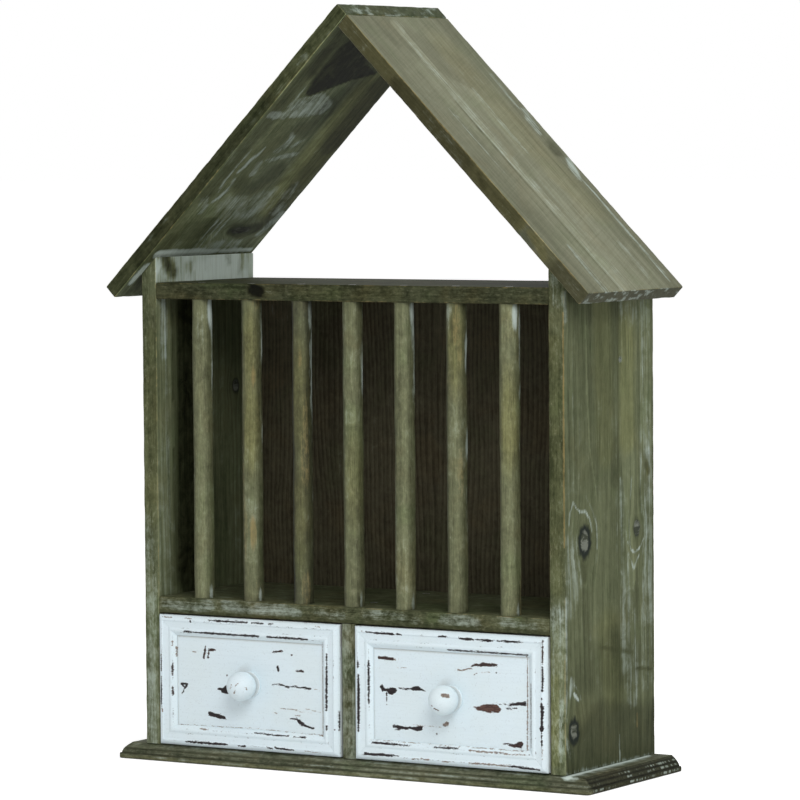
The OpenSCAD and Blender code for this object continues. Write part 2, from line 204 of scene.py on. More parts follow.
def rounded_block(start, end, edge, grid, fine=(None, None, None)):
    """A block with rounded edges: points, faces, outward directions and nearness to a worn edge."""
    start, end, edge = (np.asarray(v, float) for v in (start, end, edge))
    lines = [grid_lines(start[k], end[k], edge[k], grid, fine[k]) for k in range(3)]
    count = [len(line) - 1 for line in lines]
    quads = []
    for axis in range(3):
        across, along = (axis + 1) % 3, (axis + 2) % 3
        i, j = (v.ravel() for v in np.meshgrid(np.arange(count[across]), np.arange(count[along]), indexing="ij"))
        for side in (0, count[axis]):
            steps = [(0, 0), (1, 0), (1, 1), (0, 1)]
            corners = []
            for di, dj in steps if side else steps[::-1]:
                corner = np.zeros((len(i), 3), int)
                corner[:, axis], corner[:, across], corner[:, along] = side, i + di, j + dj
                corners.append(corner)
            quads.append(np.stack(corners, axis=1))
    quads = np.concatenate(quads)
    kept, faces = np.unique((quads[..., 0] * STRIDE + quads[..., 1]) * STRIDE + quads[..., 2], return_inverse=True)
    index = np.stack([kept // STRIDE ** 2, kept // STRIDE % STRIDE, kept % STRIDE], axis=1)
    flat = np.stack([lines[k][index[:, k]] for k in range(3)], axis=1)
    core = np.clip(flat, start + edge, end - edge)
    out = (flat - core) / edge
    out /= np.maximum(np.linalg.norm(out, axis=1, keepdims=True), NONE)
    outward = out / edge
    outward /= np.linalg.norm(outward, axis=1, keepdims=True)
    # Only the edges that are rounded off count as worn
    gap = np.minimum(flat - start, end - flat)
    nearest = np.sort(gap + np.where(edge > 0.9, 0, FAR), axis=1)
    on_skin = gap.min(axis=1) < 1e-6
    second = np.where(on_skin, np.where(nearest[:, 0] < 1e-6, nearest[:, 1], nearest[:, 0]), FAR)
    return core + out * edge, faces.reshape(-1, 4), outward, unit(1 - second / (edge.max() + GUARD))


def dented(points, outward, edge_mask, depth, seed):
    """The points, rubbed back along the edges and very slightly uneven on the faces."""
    along = smooth_noise(points, 14, seed) * 0.6 + smooth_noise(points, 5, seed + 1) * 0.4
    deep = depth * unit(along + 0.15) * edge_mask ** 1.5
    wave = 0.072 * (1 + smooth_noise(points, (34, 34, 60), seed + 2))
    return points - outward * (deep + wave)[:, None]


def skin(rows, count, flip=False):
    """Faces of a tube over rows of points, each a closed loop of so many, with a cap over both ends."""
    loop, last = range(count), (rows - 1) * count
    faces = [tuple(loop)[::-1], tuple(last + k for k in loop)]
    for a in range(0, last, count):
        b = a + count
        faces += [(a + k, a + (k + 1) % count, b + (k + 1) % count, b + k) for k in loop]
    return [face[::-1] for face in faces] if flip else faces


def write_values(mesh, values):
    """Stores painted values on the points of a mesh as attributes."""
    for key, value in values.items():
        mesh.attributes.new(key, "FLOAT", "POINT").data.foreach_set("value", np.asarray(value, np.float32))


def make_mesh(name, points, faces, values, material):
    """A new object at the origin from points in millimetres, with its painted values."""
    mesh = bpy.data.meshes.new(name)
    mesh.from_pydata((np.asarray(points) * MM).tolist(), [], [list(map(int, face)) for face in faces])
    write_values(mesh, values)
    mesh.shade_smooth()
    mesh.materials.append(material)
    mesh.validate()
    mesh.update()
    piece = bpy.data.objects.new(name, mesh)
    bpy.context.scene.collection.objects.link(piece)
    return piece


def finish_piece(piece, body, slot, *nodes):
    """Ties a finished piece to its body and the plain solids it stands for; the slot of its finish is not used."""
    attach(piece, body)
    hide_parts(*nodes)


def bulged(a, b, bulge, steps):
    """Points of a shallow arc from a to b that bulges to the left of the way."""
    a, b = np.array(a, float), np.array(b, float)
    way = b - a
    left = np.array([-way[1], way[0]]) / np.linalg.norm(way)
    return [tuple(a + way * t + left * bulge * 4 * t * (1 - t)) for t in np.linspace(0, 1, steps + 1)]


def closely(section, step):
    """The points of an open section with more put in, so that none lie further apart than step."""
    out = [section[0]]
    for a, b in zip(section, section[1:]):
        parts = max(1, math.ceil(math.dist(a, b) / step))
        out += [tuple(np.array(a) + (np.array(b) - np.array(a)) * k / parts) for k in range(1, parts + 1)]
    return out


# ---- Painted marks ----

KINDS = ("pale", "dark", "rub", "tone", "warm", "mottle")


def rows_of(text):
    """Reads marks such as "pale .4 8: 10 20 3, 10 90 3": a kind, its numbers, and a path of places and half widths."""
    rows = []
    for row in text.split(";"):
        head, _, path = row.partition(":")
        kind, *numbers = head.split()
        rows.append((kind, *map(float, numbers), *(tuple(map(float, at.split())) for at in path.split(",") if at)))
    return rows


def distance_to_path(points, path):
    """Distance of each point from a path, less the half width that ends each place of the path."""
    best = np.full(len(points), FAR)
    path = [(np.array(place[:-1]), place[-1]) for place in path]
    for (a, half_a), (b, half_b) in zip(path, path[1:] or path):
        way = b - a
        share = unit(((points - a) @ way) / max(way @ way, NONE))
        apart = np.linalg.norm(points - a - share[:, None] * way, axis=1)
        best = np.minimum(best, apart - half_a - share * (half_b - half_a))
    return best


def painted_on(count):
    return {key: np.zeros(count) for key in KINDS}


def paint(made, points, shown, rows):
    """Paints rows of (kind, strength, softness, path) on the points that are shown; the strongest mark wins."""
    for kind, strength, soft, *path in rows:
        near = eased(1 - distance_to_path(points, path) / soft) * strength * shown
        made[kind] = np.where(np.abs(near) > np.abs(made[kind]), near, made[kind])


# ---- Shading ----

class Value:
    """A value in a node tree; sums and products of it place Math nodes."""

    def __init__(self, nodes, socket):
        self.nodes, self.socket = nodes, socket

    def __add__(self, other):
        return self.nodes.math("ADD", self, other)

    def __sub__(self, other):
        return self.nodes.math("SUBTRACT", self, other)

    def __rsub__(self, other):
        return self.nodes.math("SUBTRACT", other, self)

    def __mul__(self, other):
        return self.nodes.math("MULTIPLY", self, other)

    def __truediv__(self, other):
        return self.nodes.math("DIVIDE", self, other)

    __radd__, __rmul__ = __add__, __mul__

    def swing(self, amount):
        """A value from 0 to 1, moved to lie about zero over this range."""
        return self.nodes.math("MULTIPLY_ADD", self, amount, -amount / 2)

    def ramp(self, start, end, to_start=0.0, to_end=1.0):
        return self.nodes.value("ShaderNodeMapRange", {"Value": self, "From Min": start, "From Max": end,
                                                       "To Min": to_start, "To Max": to_end},
                                "Result", interpolation_type="SMOOTHSTEP")


class Nodes:
    """Places nodes in a tree and joins them; an input may be a value or a constant."""

    def __init__(self, tree):
        self.tree = tree

    def put(self, kind, inputs=None, **settings):
        node = self.tree.nodes.new(kind)
        for key, value in settings.items():
            setattr(node, key, value)
        for key, value in (inputs or {}).items():
            self.set(node.inputs[key], value)
        return node

    def value(self, kind, inputs=None, output=0, **settings):
        return Value(self, self.put(kind, inputs, **settings).outputs[output])

    def set(self, socket, value):
        if isinstance(value, Value):
            self.tree.links.new(value.socket, socket)
        elif socket.type == "RGBA" and len(value) == 3:
            socket.default_value = (*value, 1)
        else:
            socket.default_value = value

    def math(self, operation, a, b=0.0, c=0.0, clamp=False):
        return self.value("ShaderNodeMath", {0: a, 1: b, 2: c}, operation=operation, use_clamp=clamp)

    def most(self, a, b):
        return self.math("MAXIMUM", a, b)

    def least(self, a, b):
        return self.math("MINIMUM", a, b)

    def blend(self, share, a, b, kind="MIX"):
        return self.value("ShaderNodeMix", {0: share, 6: a, 7: b}, 2, data_type="RGBA", blend_type=kind)

    def tint(self, colour, by):
        return self.blend(1.0, colour, by, "MULTIPLY")

    def vector(self, operation, a, b):
        return self.value("ShaderNodeVectorMath", {0: a, 1: b}, operation=operation)

    def stretched(self, vector, *by):
        return self.vector("MULTIPLY", vector, by)

    def parts(self, vector):
        return [Value(self, part) for part in self.put("ShaderNodeSeparateXYZ", {0: vector}).outputs[:3]]

    def joined(self, x=0.0, y=0.0, z=0.0):
        return self.value("ShaderNodeCombineXYZ", {0: x, 1: y, 2: z})

    def place(self):
        return self.value("ShaderNodeTexCoord", output="Object")

    def noise(self, vector, scale=1.0, detail=2.0, rough=0.5, distort=0.0):
        return self.value("ShaderNodeTexNoise", {"Vector": vector, "Scale": scale, "Detail": detail,
                                                 "Roughness": rough, "Distortion": distort})

    def drawn_out(self, place, along, across, shift, detail=2.0, rough=0.5, distort=0.0):
        """Noise drawn out along the grain, which runs along the first part of the place."""
        x, y, z = place
        return self.noise(self.joined(x * along + shift, y * across, z * across), 1, detail, rough, distort)

    def attribute(self, name):
        return self.value("ShaderNodeAttribute", output="Fac", attribute_name=name)

    def group(self, tree, inputs):
        node = self.tree.nodes.new("ShaderNodeGroup")
        node.node_tree = tree
        for key, value in inputs.items():
            self.set(node.inputs[key], value)
        return {socket.name: Value(self, socket) for socket in node.outputs}


def new_tree(name, kind, inputs, outputs):
    """An empty node tree: the tree, its nodes, its inputs, and a function that sets its outputs.

    An input without a default and an output that isn't a plain number are of the kind that their name says.
    """
    tree = bpy.data.node_groups.new(name, kind)
    for socket, value in inputs.items():
        length = len(value) if isinstance(value, tuple) else 1
        sort = socket if value is None else {1: "Float", 3: "Vector", 4: "Color"}[length]
        made = tree.interface.new_socket(socket, in_out="INPUT", socket_type="NodeSocket" + sort)
        if value is not None:
            made.default_value = value
    for socket in outputs:
        sort = socket if socket in ("Color", "Vector", "Geometry") else "Float"
        tree.interface.new_socket(socket, in_out="OUTPUT", socket_type="NodeSocket" + sort)
    n = Nodes(tree)
    i = {socket.name: Value(n, socket) for socket in tree.nodes.new("NodeGroupInput").outputs}
    out = tree.nodes.new("NodeGroupOutput").inputs

    def send(**values):
        for key, value in values.items():
            n.set(out[key], value)
    return tree, n, i, send


DARKEST = 0.07
FLECK, CHALK = srgb(158, 154, 130), srgb(206, 218, 212)
KNOT_RING, KNOT_HEART = srgb(22, 29, 26), (srgb(50, 54, 48), srgb(118, 122, 114))
DIRT_AND_SHADE, DUST, PAINT_RIM = srgb(150, 136, 118), srgb(150, 156, 156), srgb(240, 244, 244)
GREY_WOOD = srgb(172, 170, 164), srgb(140, 126, 114)
GRAIN = {"Vector": (0, 0, 0), "Seed": 0.0, "Ring Width": 0.004, "Strip Width": 1.0, "Heart Depth": 0.03}


def pine_grain_group():
    """Figure of sawn pine: growth rings, fine fibres, long streaks and slow changes, with the grain along X."""
    tree, n, i, send = new_tree("Pine grain", "ShaderNodeTree", GRAIN, ("Rings", "Fibre", "Streaks", "Clouds", "Strip"))
    x, y, z = n.parts(i["Vector"])
    strip = n.math("FLOOR", y / i["Strip Width"])
    draw = n.value("ShaderNodeTexWhiteNoise", {"Vector": n.joined(strip, i["Seed"], 3.7)}, "Color",
                   noise_dimensions="3D")
    r, g, b = n.parts(draw)
    slow = n.drawn_out((x, y, z), 3.2, 9, i["Seed"])
    wobble = n.drawn_out((x, y, z), 14, 60, i["Seed"])
    heart_y = y + g.swing(0.09) + slow.swing(0.034) + wobble.swing(0.003)
    heart_z = z + i["Heart Depth"] + r * 0.03 + x * b.swing(0.12)
    ring = n.math("FRACT", n.math("SQRT", heart_y * heart_y + heart_z * heart_z) / i["Ring Width"])
    shift = r * 7.0
    send(Rings=ring.ramp(0.15, 0.88) * ring.ramp(1.0, 0.9),
         Fibre=n.drawn_out((x, y, z), 34, 1150, shift, 3, 0.6),
         Streaks=n.drawn_out((x, y + slow * 0.02, z), 5, 170, shift, 4, 0.62),
         Clouds=n.drawn_out((x, y, z), 5.5, 13, i["Seed"], 3, 0.55),
         Strip=g)
    return tree


def knot_group():
    """A knot: grain coordinates that bend round it, and masks of its heart, its dark ring and its halo."""
    tree, n, i, send = new_tree("Knot", "ShaderNodeTree", {
        "Vector": (0, 0, 0), "Centre": (0, 0, 0), "Half Length": 0.01, "Half Width": 0.008},
        ("Vector", "Heart", "Ring", "Halo"))
    x, y, z = n.parts(n.vector("SUBTRACT", i["Vector"], i["Centre"]))
    long, wide = x / i["Half Length"], y / i["Half Width"]
    reach = n.math("SQRT", long * long + wide * wide) + n.noise(i["Vector"], 140).swing(0.6)

    def settled(rate):
        return 1.0 - n.math("EXPONENT", reach * reach * -rate)
    turned = n.joined(x * (settled(0.08) * 0.35 + 0.65), y * settled(0.33), z)
    send(Vector=n.vector("ADD", turned, i["Centre"]), Heart=reach.ramp(0.9, 0.7),
         Ring=reach.ramp(0.5, 0.74) * reach.ramp(1.3, 0.84), Halo=reach.ramp(2.6, 1.0))
    return tree


def stained_pine_group():
    """Stained and lime-washed pine: colour, roughness and height from the grain and the painted values."""
    tree, n, i, send = new_tree("Stained pine", "ShaderNodeTree", {
        **GRAIN, "Light Stain": (0.1, 0.1, 0.06, 1), "Dark Stain": (0.05, 0.05, 0.03, 1),
        "Wash": (0.4, 0.45, 0.42, 1), "Rubbed": (0.3, 0.2, 0.09, 1), "Wash Amount": 0.3, "Figure": 0.5,
        "Strip Contrast": 0.0, "Mottle": 0.5, "Saw Marks": 0.0, "Swirl": 0.0,
        "Knot Heart": 0.0, "Knot Ring": 0.0, "Knot Halo": 0.0}, ("Color", "Roughness", "Height"))
    grain = n.group(shared("Pine grain", pine_grain_group), {key: i[key] for key in GRAIN})
    rings, fibre, streaks, clouds, strip = grain.values()
    edge, pale, dark, rub, tone, warm, mottle = (n.attribute(key) for key in ("edge", *KINDS))
    shifted = n.vector("ADD", n.place(), n.joined(i["Seed"], 0.3, 0.1))
    blotch = n.noise(shifted, 60, 5, 0.66, 0.5)
    patch = n.noise(shifted, 17, 3, 0.55, 0.6)
    speck = n.noise(n.stretched(i["Vector"], 0.45, 1, 1), 330, 4, 0.72)
    x, y, z = n.parts(i["Vector"])
    saw = n.noise(n.joined(x * 420 + y * 160, y * 14, z * 14))
    coarse = mottle * 0.4 + i["Mottle"]
    # Stain: soft growth rings take it up less than the hard ones
    depth = (0.5 + (0.35 - rings) * i["Figure"] + streaks.swing(0.95) + clouds.swing(0.7) + fibre.swing(1.1)
             + strip.swing(1) * i["Strip Contrast"] + blotch.swing(2.4) * coarse + speck.swing(2) * coarse
             + saw.swing(1) * i["Saw Marks"])
    colour = n.blend(n.math("ADD", depth, 0, clamp=True), i["Dark Stain"], i["Light Stain"])
    brown, green, yellow = (n.tint(colour, by) for by in ((1.12, 0.97, 0.84), (0.88, 1.02, 0.86), (1.2, 1.11, 0.8)))
    tinted = coarse * 0.7 + 0.1
    colour = n.blend(patch.ramp(0.5, 0.7) * tinted, colour, brown)
    colour = n.blend(patch.ramp(0.48, 0.32) * tinted, colour, green)
    colour = n.blend(n.math("MULTIPLY", warm, 0.8, clamp=True), colour, yellow)
    # The painted tone lightens or darkens the stain: the wood's own changes, and in places painted light and shade
    shade = n.most(tone * 0.9 + 1.0, DARKEST)
    colour = n.tint(colour, n.joined(shade, shade, shade * (shade * 0.1 + 0.9)))
    # Flecks of pale wood where the sanding caught the high spots
    flecks = speck.ramp(0.54, 0.72) * mottle * shade.ramp(0.1, 1, 0.2, 1)
    colour = n.blend(flecks * 0.26, colour, FLECK)
    # Wash: caught in the open grain, in pale clouds and where it was brushed on
    comb = n.drawn_out((x, y, z), 7, 300, i["Seed"], 3, 0.6, 0.3)
    line = n.math("ABSOLUTE", n.drawn_out((x, y, z), 2.6, 85, i["Seed"]) - 0.5).ramp(0.045, 0.0)
    swirl = n.noise(n.joined(x * 17, y * 36 + i["Seed"], z * 36), 1, 5, 0.66, 1.6)
    held = n.least(pale * 2.2, 1.0)
    combed = (comb * 2.0 - 1.05 + line * 0.55) * (held * 0.62 + 0.15) * (1 - mottle * 0.7) * (1 - i["Swirl"] * 1.6)
    caught = (streaks.swing(0.9) + clouds.swing(0.9) + fibre.swing(0.5) + blotch.swing(1.3) + i["Wash Amount"] - 0.46
              + pale * 1.1 + combed + speck.swing(1.2) * mottle + swirl.swing(3.4) * i["Swirl"]
              + edge * 0.06 - dark * 0.6)
    film = caught.ramp(-0.05, 0.95) * fibre.ramp(0.32, 0.6, 0.68, 1) * shade.ramp(0.1, 0.9, 0.5, 1)
    colour = n.blend(film * (held * 0.34 + 0.6), colour, i["Wash"])
    colour = n.blend(film * pale.ramp(0.7, 1.3, 0, 0.6), colour, CHALK)
    # Knots: a dull heart inside a dark ring
    colour = n.blend(i["Knot Halo"] * 0.3, colour, n.tint(colour, (0.8, 0.8, 0.72)))
    colour = n.blend(i["Knot Heart"] * 0.8, colour, n.blend(speck.ramp(0.45, 0.56), *KNOT_HEART))
    colour = n.blend(i["Knot Ring"] * (speck * 0.5 + 0.68), colour, KNOT_RING)
    # Edges: stain rubbed off; then the dark marks, which are dirt in some places and painted shadow in others
    worn = (edge + speck.swing(0.9) + blotch.swing(1.3)).ramp(0.9, 1.08)
    bare = n.most(worn * 0.5, (rub + fibre.swing(0.5) + speck.swing(0.6)).ramp(0.3, 0.75))
    colour = n.blend(bare * 0.75, colour, i["Rubbed"])
    ragged = blotch.swing(1.5) * n.least(dark * 3, 1.0)
    dim = n.most(1.0 - n.most(dark + ragged, 0.0) * 0.75, DARKEST)
    send(Color=n.tint(colour, n.joined(dim, dim, dim * (dim * 0.14 + 0.86))),
         Roughness=0.6 + film * 0.18 + fibre * 0.14 + bare * 0.1,
         Height=fibre * 0.5 + rings * 0.15 + film * 0.4 + streaks * 0.35 - dark * 0.8
         + saw * (i["Saw Marks"] * 2.5) + blotch * 0.3 - i["Knot Ring"] * 0.6)
    return tree


def worn_paint_group():
    """Old white paint with chips: colour, roughness and height from the distance to a chip and its tone."""
    tree, n, i, send = new_tree("Worn paint", "ShaderNodeTree", {
        "Coat": (0.74, 0.83, 0.86, 1), "Brown": (0.16, 0.08, 0.06, 1), "Bare": (0.03, 0.02, 0.015, 1), "Specks": 0.3},
        ("Color", "Roughness", "Height"))
    place = n.place()
    gap, tone, edge, dirt_and_shade = (n.attribute(key) for key in ("chip", "chip_tone", "edge", "dirt_and_shade"))
    ragged = n.noise(n.stretched(place, 1, 1, 2.2), 520, 4, 0.65)
    fine = n.noise(place, 1500, 2, 0.6)
    brush = n.noise(n.stretched(place, 28, 600, 520), 1, 3, 0.55)
    streaky = n.noise(n.stretched(place, 150, 600, 900), 1, 4, 0.65)
    border = gap + ragged.swing(3) + streaky.swing(3.6) + fine.swing(1)
    chip = border.ramp(0.35, -0.2)
    rim = border.ramp(1.1, 0.1) * border.ramp(-0.6, 0.2)
    # Small marks along the worn edges
    mark = (n.noise(place, 95, 3, 0.6) + edge * 0.32 + i["Specks"] * 0.2).ramp(0.86, 0.9)
    speck = mark * n.noise(n.stretched(place, 0.6, 1, 1.7), 700, 3, 0.7).ramp(0.5, 0.62)
    coat = n.blend(n.noise(place, 24, 3).ramp(0.35, 0.7, 0, 0.35), i["Coat"], n.tint(i["Coat"], (0.97, 0.95, 0.9)))
    coat = n.blend(brush.ramp(0.42, 0.75, 0, 0.2), coat, n.tint(coat, (0.86, 0.87, 0.88)))
    # Dirt, and painted shade beside and under the knobs, in one tan colour
    coat = n.blend(dirt_and_shade * (ragged * 0.7 + 0.35), coat, DIRT_AND_SHADE)
    coat = n.blend(n.noise(place, 650, 2, 0.6).ramp(0.6, 0.72, 0, 0.22), coat, DUST)
    depth = tone + ragged.swing(0.5)
    wood = n.blend(depth.ramp(0, 0.35), *GREY_WOOD)
    wood = n.blend(depth.ramp(0.35, 0.6), wood, i["Brown"])
    wood = n.blend(depth.ramp(0.6, 0.9), wood, i["Bare"])
    wood = n.blend(streaky.ramp(0.46, 0.54, 0, 0.8), wood, n.tint(wood, (0.35, 0.32, 0.34)))
    colour = n.blend(speck * 0.75, coat, n.blend(ragged, i["Bare"], i["Brown"]))
    colour = n.blend(rim * 0.25, colour, PAINT_RIM)
    send(Color=n.blend(chip, colour, wood),
         Roughness=0.45 + chip * 0.28 + brush * 0.16 + speck * 0.1,
         Height=brush * 0.16 - chip + rim * 0.15 - speck * 0.5)
    return tree


def turned_to(along, across):
    """Turn of a pattern whose X follows along and whose Y follows across."""
    along, across = Vector(along), Vector(across)
    return Matrix((along, across, along.cross(across)))


ALONG_X = turned_to((1, 0, 0), (0, 1, 0))
ALONG_X_UPRIGHT = turned_to((1, 0, 0), (0, 0, 1))
UPRIGHT_SIDE = turned_to((0, 0, 1), (0, 1, 0))
UPRIGHT_FRONT = turned_to((0, 0, 1), (1, 0, 0))
ALONG_Y = turned_to((0, 1, 0), (0, 0, 1))
DOWN_RIGHT = turned_to((math.cos(SLOPE), 0, -math.sin(SLOPE)), (0, 1, 0))
DOWN_LEFT = turned_to((-math.cos(SLOPE), 0, -math.sin(SLOPE)), (0, 1, 0))


def shared(name, build):
    """A node group that is built once."""
    return bpy.data.node_groups.get(name) or build()


def surface(name, strength, depth):
    """A new material with a bump of this strength and depth, its nodes, and a function that sets its inputs."""
    material = bpy.data.materials.new(name)
    material.use_nodes = True
    n = Nodes(material.node_tree)
    shader = material.node_tree.nodes["Principled BSDF"].inputs
    bump = n.put("ShaderNodeBump", {"Strength": strength, "Distance": depth * MM})
    n.set(shader["Normal"], Value(n, bump.outputs[0]))

    def send(colour, roughness, height, shine=0.5, metallic=0.0):
        n.set(shader["Base Color"], colour)
        n.set(shader["Roughness"], roughness)
        n.set(bump.inputs["Height"], height)
        shader["Specular IOR Level"].default_value = shine
        shader["Metallic"].default_value = metallic
    return material, n, send


def stained(name, turn, origin, light, dark, seed=0.0, ring=4.0, strip=1000.0, heart=30.0, wash=0.3, figure=0.5,
            contrast=0.0, mottle=0.5, saw=0.0, swirl=0.0, knots=(), bump=(0.5, 0.5), shine=0.06):
    """Material of one board. Sizes are in millimetres; knots are (along, across, half length, half width, ring)."""
    wood = bpy.context.scene.bookshelf_wood
    material, n, send = surface(name, *bump)
    vector = n.value("ShaderNodeMapping", {"Vector": n.place(), "Location": -(turn @ (Vector(origin) * MM)),
                                           "Rotation": turn.to_euler("XYZ")})
    masks = {"Knot Heart": 0.0, "Knot Ring": 0.0, "Knot Halo": 0.0}
    for along, across, long, wide, dark_ring in knots:
        knot = n.group(shared("Knot", knot_group), {
            "Vector": vector, "Centre": (along * MM, across * MM, 0),
            "Half Length": long * MM, "Half Width": wide * MM})
        vector = knot["Vector"]
        knot["Ring"] = knot["Ring"] * dark_ring
        masks = {key: n.most(value, knot[key.split()[1]]) for key, value in masks.items()}
    finish = n.group(shared("Stained pine", stained_pine_group), {
        "Vector": vector, "Seed": seed, "Ring Width": ring * MM, "Strip Width": strip * MM, "Heart Depth": heart * MM,
        "Light Stain": light, "Dark Stain": dark, "Wash": tuple(wood.wash), "Rubbed": tuple(wood.rubbed),
        "Wash Amount": wash, "Figure": figure, "Strip Contrast": contrast, "Mottle": mottle, "Saw Marks": saw,
        "Swirl": swirl, **masks})
    send(*finish.values(), shine=shine)
    return material


def painted(name, specks=0.3):
    """Material of the worn white paint."""
    colours = bpy.context.scene.bookshelf_paint
    material, n, send = surface(name, 0.6, 0.35)
    finish = n.group(shared("Worn paint", worn_paint_group), {
        "Coat": tuple(colours.coat), "Brown": tuple(colours.brown), "Bare": tuple(colours.bare), "Specks": specks})
    send(*finish.values(), shine=0.4)
    return material


def steel():
    """Dull zinc-plated steel with fine scratches and a few darker spots."""
    name = "Zinc steel"
    if name in bpy.data.materials:
        return bpy.data.materials[name]
    material, n, send = surface(name, 0.25, 0.05)
    place = n.place()
    cloud = n.noise(place, 260, 4, 0.6)
    scratch = n.noise(n.stretched(place, 900, 4000, 900))
    send(n.blend(cloud.ramp(0.4, 0.7), srgb(170, 171, 170), srgb(120, 118, 112)),
         0.3 + cloud * 0.25 + scratch * 0.1, scratch * 0.6 + cloud, metallic=1.0)
    return material


def raw_pine(name, turn, origin, seed):
    """Unpainted pale pine of the drawer boxes and the dowels."""
    return stained(name, turn, origin, srgb(214, 184, 138), srgb(176, 140, 94), seed, 3.6, 1000, 26, 0.05, 0.75,
                   bump=(0.35, 0.3))


# ---- The case ----

MOSS = srgb(108, 112, 84), srgb(58, 62, 42)
MOTTLED = {"stained_wood": 0.9, "roof_wood": 0.6, "dark_back": 0.0, "raw_wood": 0.0}


def board(name, node, grid, edges, material, values=None, body="case", slot="stained_wood", box=None, shape=None,
          mirrored=False, seed=0.0):
    """A board with rounded, rubbed edges in the place of a plain solid. A shape that mirrors it says so."""
    wood = bpy.context.scene.bookshelf_wood
    points, faces, outward, edge_mask = rounded_block(*(box or (low(node), high(node))), edges, grid)
    points = dented(points, outward, edge_mask, wood.wear / MM, seed)
    if shape:
        points = shape(points)
    if mirrored:
        faces = faces[:, [0, 3, 2, 1]]
    made = {"edge": edge_mask, **painted_on(len(points))}
    if values:
        values(made, points, outward)
    if MOTTLED[slot]:
        made["mottle"] = unit(-outward[:, 1]) * MOTTLED[slot]
    finish_piece(make_mesh(name, points, faces, made, material), body, slot, node)


def as_places(*values):
    """Places from their parts, given as columns."""
    return np.stack(values, axis=1)


def seen(n):
    """1 for the rays that show a surface, and 0 for those that only light it."""
    rays = n.put("ShaderNodeLightPath").outputs
    camera, glossy, through = (Value(n, rays[f"Is {kind} Ray"]) for kind in ("Camera", "Glossy", "Transmission"))
    return n.most(camera, n.most(glossy, through))


FLOOR_PALE = (0.88, 0.88, 0.88, 1)
FLOOR_WIDE = 60
FLOOR_DROP = 0.4 * MM


class BOOKSHELF_OT_stage(bpy.types.Operator):
    """Place the camera, the soft lamps and the pale floor"""
    bl_idname = "bookshelf.stage"
    bl_label = "Camera, lamps and floor"

    def execute(self, context):
        scene, camera, light = context.scene, context.scene.bookshelf_camera, context.scene.bookshelf_light
        scene.view_settings.view_transform = "Standard"
        ahead = Vector((-math.sin(camera.yaw) * math.cos(camera.pitch), math.cos(camera.yaw) * math.cos(camera.pitch),
                        -math.sin(camera.pitch)))
        right = ahead.cross((0, 0, 1)).normalized()
        up = right.cross(ahead)
        level, rise = (right * math.cos(camera.roll) + up * math.sin(camera.roll),
                       up * math.cos(camera.roll) - right * math.sin(camera.roll))
        made = bpy.data.objects.new("front_camera", bpy.data.cameras.new("front_camera"))
        made.matrix_world = Matrix.Translation(camera.place) @ Matrix((level, rise, -ahead)).transposed().to_4x4()
        made.data.lens, made.data.sensor_width, made.data.clip_end = camera.lens, 36, 200
        scene.collection.objects.link(made)
        scene.camera = made
        for name, place, aim, size, power in (
                ("key_lamp", (1.7, -1.9, 2.0), (0, 0, 0.4), 1.7, light.key),
                ("top_lamp", (0.5, 0.2, 3.0), (0, 0, 0.3), 1.6, light.top)):
            lamp = bpy.data.objects.new(name, bpy.data.lights.new(name, "AREA"))
            lamp.data.shape, lamp.data.size, lamp.data.energy = "DISK", size, power
            lamp.location = place
            lamp.rotation_euler = (Vector(aim) - Vector(place)).to_track_quat("-Z", "Y").to_euler()
            scene.collection.objects.link(lamp)
        world = bpy.data.worlds.new("Pale room")
        world.use_nodes = True
        n = Nodes(world.node_tree)
        sky = world.node_tree.nodes["Background"].inputs
        sky["Color"].default_value = (1, 1, 1, 1)
        n.set(sky["Strength"], seen(n) * (1 - light.sky) + light.sky)
        scene.world = world
        # Floor: pale, whiter to the camera, and still shaded under the case
        floor = bpy.data.materials.new("Pale floor")
        floor.use_nodes = True
        n = Nodes(floor.node_tree)
        shader = floor.node_tree.nodes["Principled BSDF"].inputs
        n.set(shader["Base Color"], n.blend(n.noise(n.place(), 3) * 0.1, tuple(light.floor), FLOOR_PALE))
        shader["Roughness"].default_value = 0.9
        shader["Specular IOR Level"].default_value = 0.0
        shader["Emission Color"].default_value = (1, 1, 1, 1)
        n.set(shader["Emission Strength"], seen(n) * 0.55)
        mesh = bpy.data.meshes.new("floor")
        corners = ((-1, -1), (1, -1), (1, 1), (-1, 1))
        mesh.from_pydata([(x * FLOOR_WIDE, y * FLOOR_WIDE, -FLOOR_DROP) for x, y in corners], [], [(0, 1, 2, 3)])
        mesh.materials.append(floor)
        ground = bpy.data.objects.new("floor", mesh)
        scene.collection.objects.link(ground)
        return {"FINISHED"}


BASE_THICK = 16
BASE_EDGE = closely([(0.8, 0.0), (0, 0.9), (0, 4.9), (0.5, 5.45)]
                    + closely([(2, 5.5)] + bulged((2, 5.5), (9.8, 15), 0.9, 6)[1:] + [(10.8, BASE_THICK)], 1), 1)

# Wash left along the foot of the right side: kind, strength, softness: right, back, up, half width
FOOT_MARKS = rows_of("""
pale 1.3 5: 251.5 -76 16 2.4, 252.5 -62 16 2.6, 252 -30 16 1.4, 251 90 16 .8;
pale .4 10: 257 -74 16 4, 255 0 16 2.4, 253 90 16 1
""")


def base_loop(start, end, step, front, side):
    """One level line round the base, set in by step, with its front corners rounded."""
    turn = max(5 - step, 0.6)
    x0, x1, y0, y1 = start[0] + step, end[0] - step, start[1] + step, end[1]
    left = [(x0 + turn - turn * math.cos(a), y0 + turn - turn * math.sin(a))
            for a in np.linspace(0, math.pi / 2, 7)]
    right = [(x1 - (x - x0), y) for x, y in left[::-1]]
    return (left + [(x, y0) for x in np.linspace(x0 + turn, x1 - turn, front)[1:-1]]
            + right + [(x1, y) for y in np.linspace(y0 + turn, y1, side)[1:]]
            + [(x, y1) for x in np.linspace(x1, x0, front)[1:-1]]
            + [(x0, y) for y in np.linspace(y1, y0 + turn, side)[:-1]])


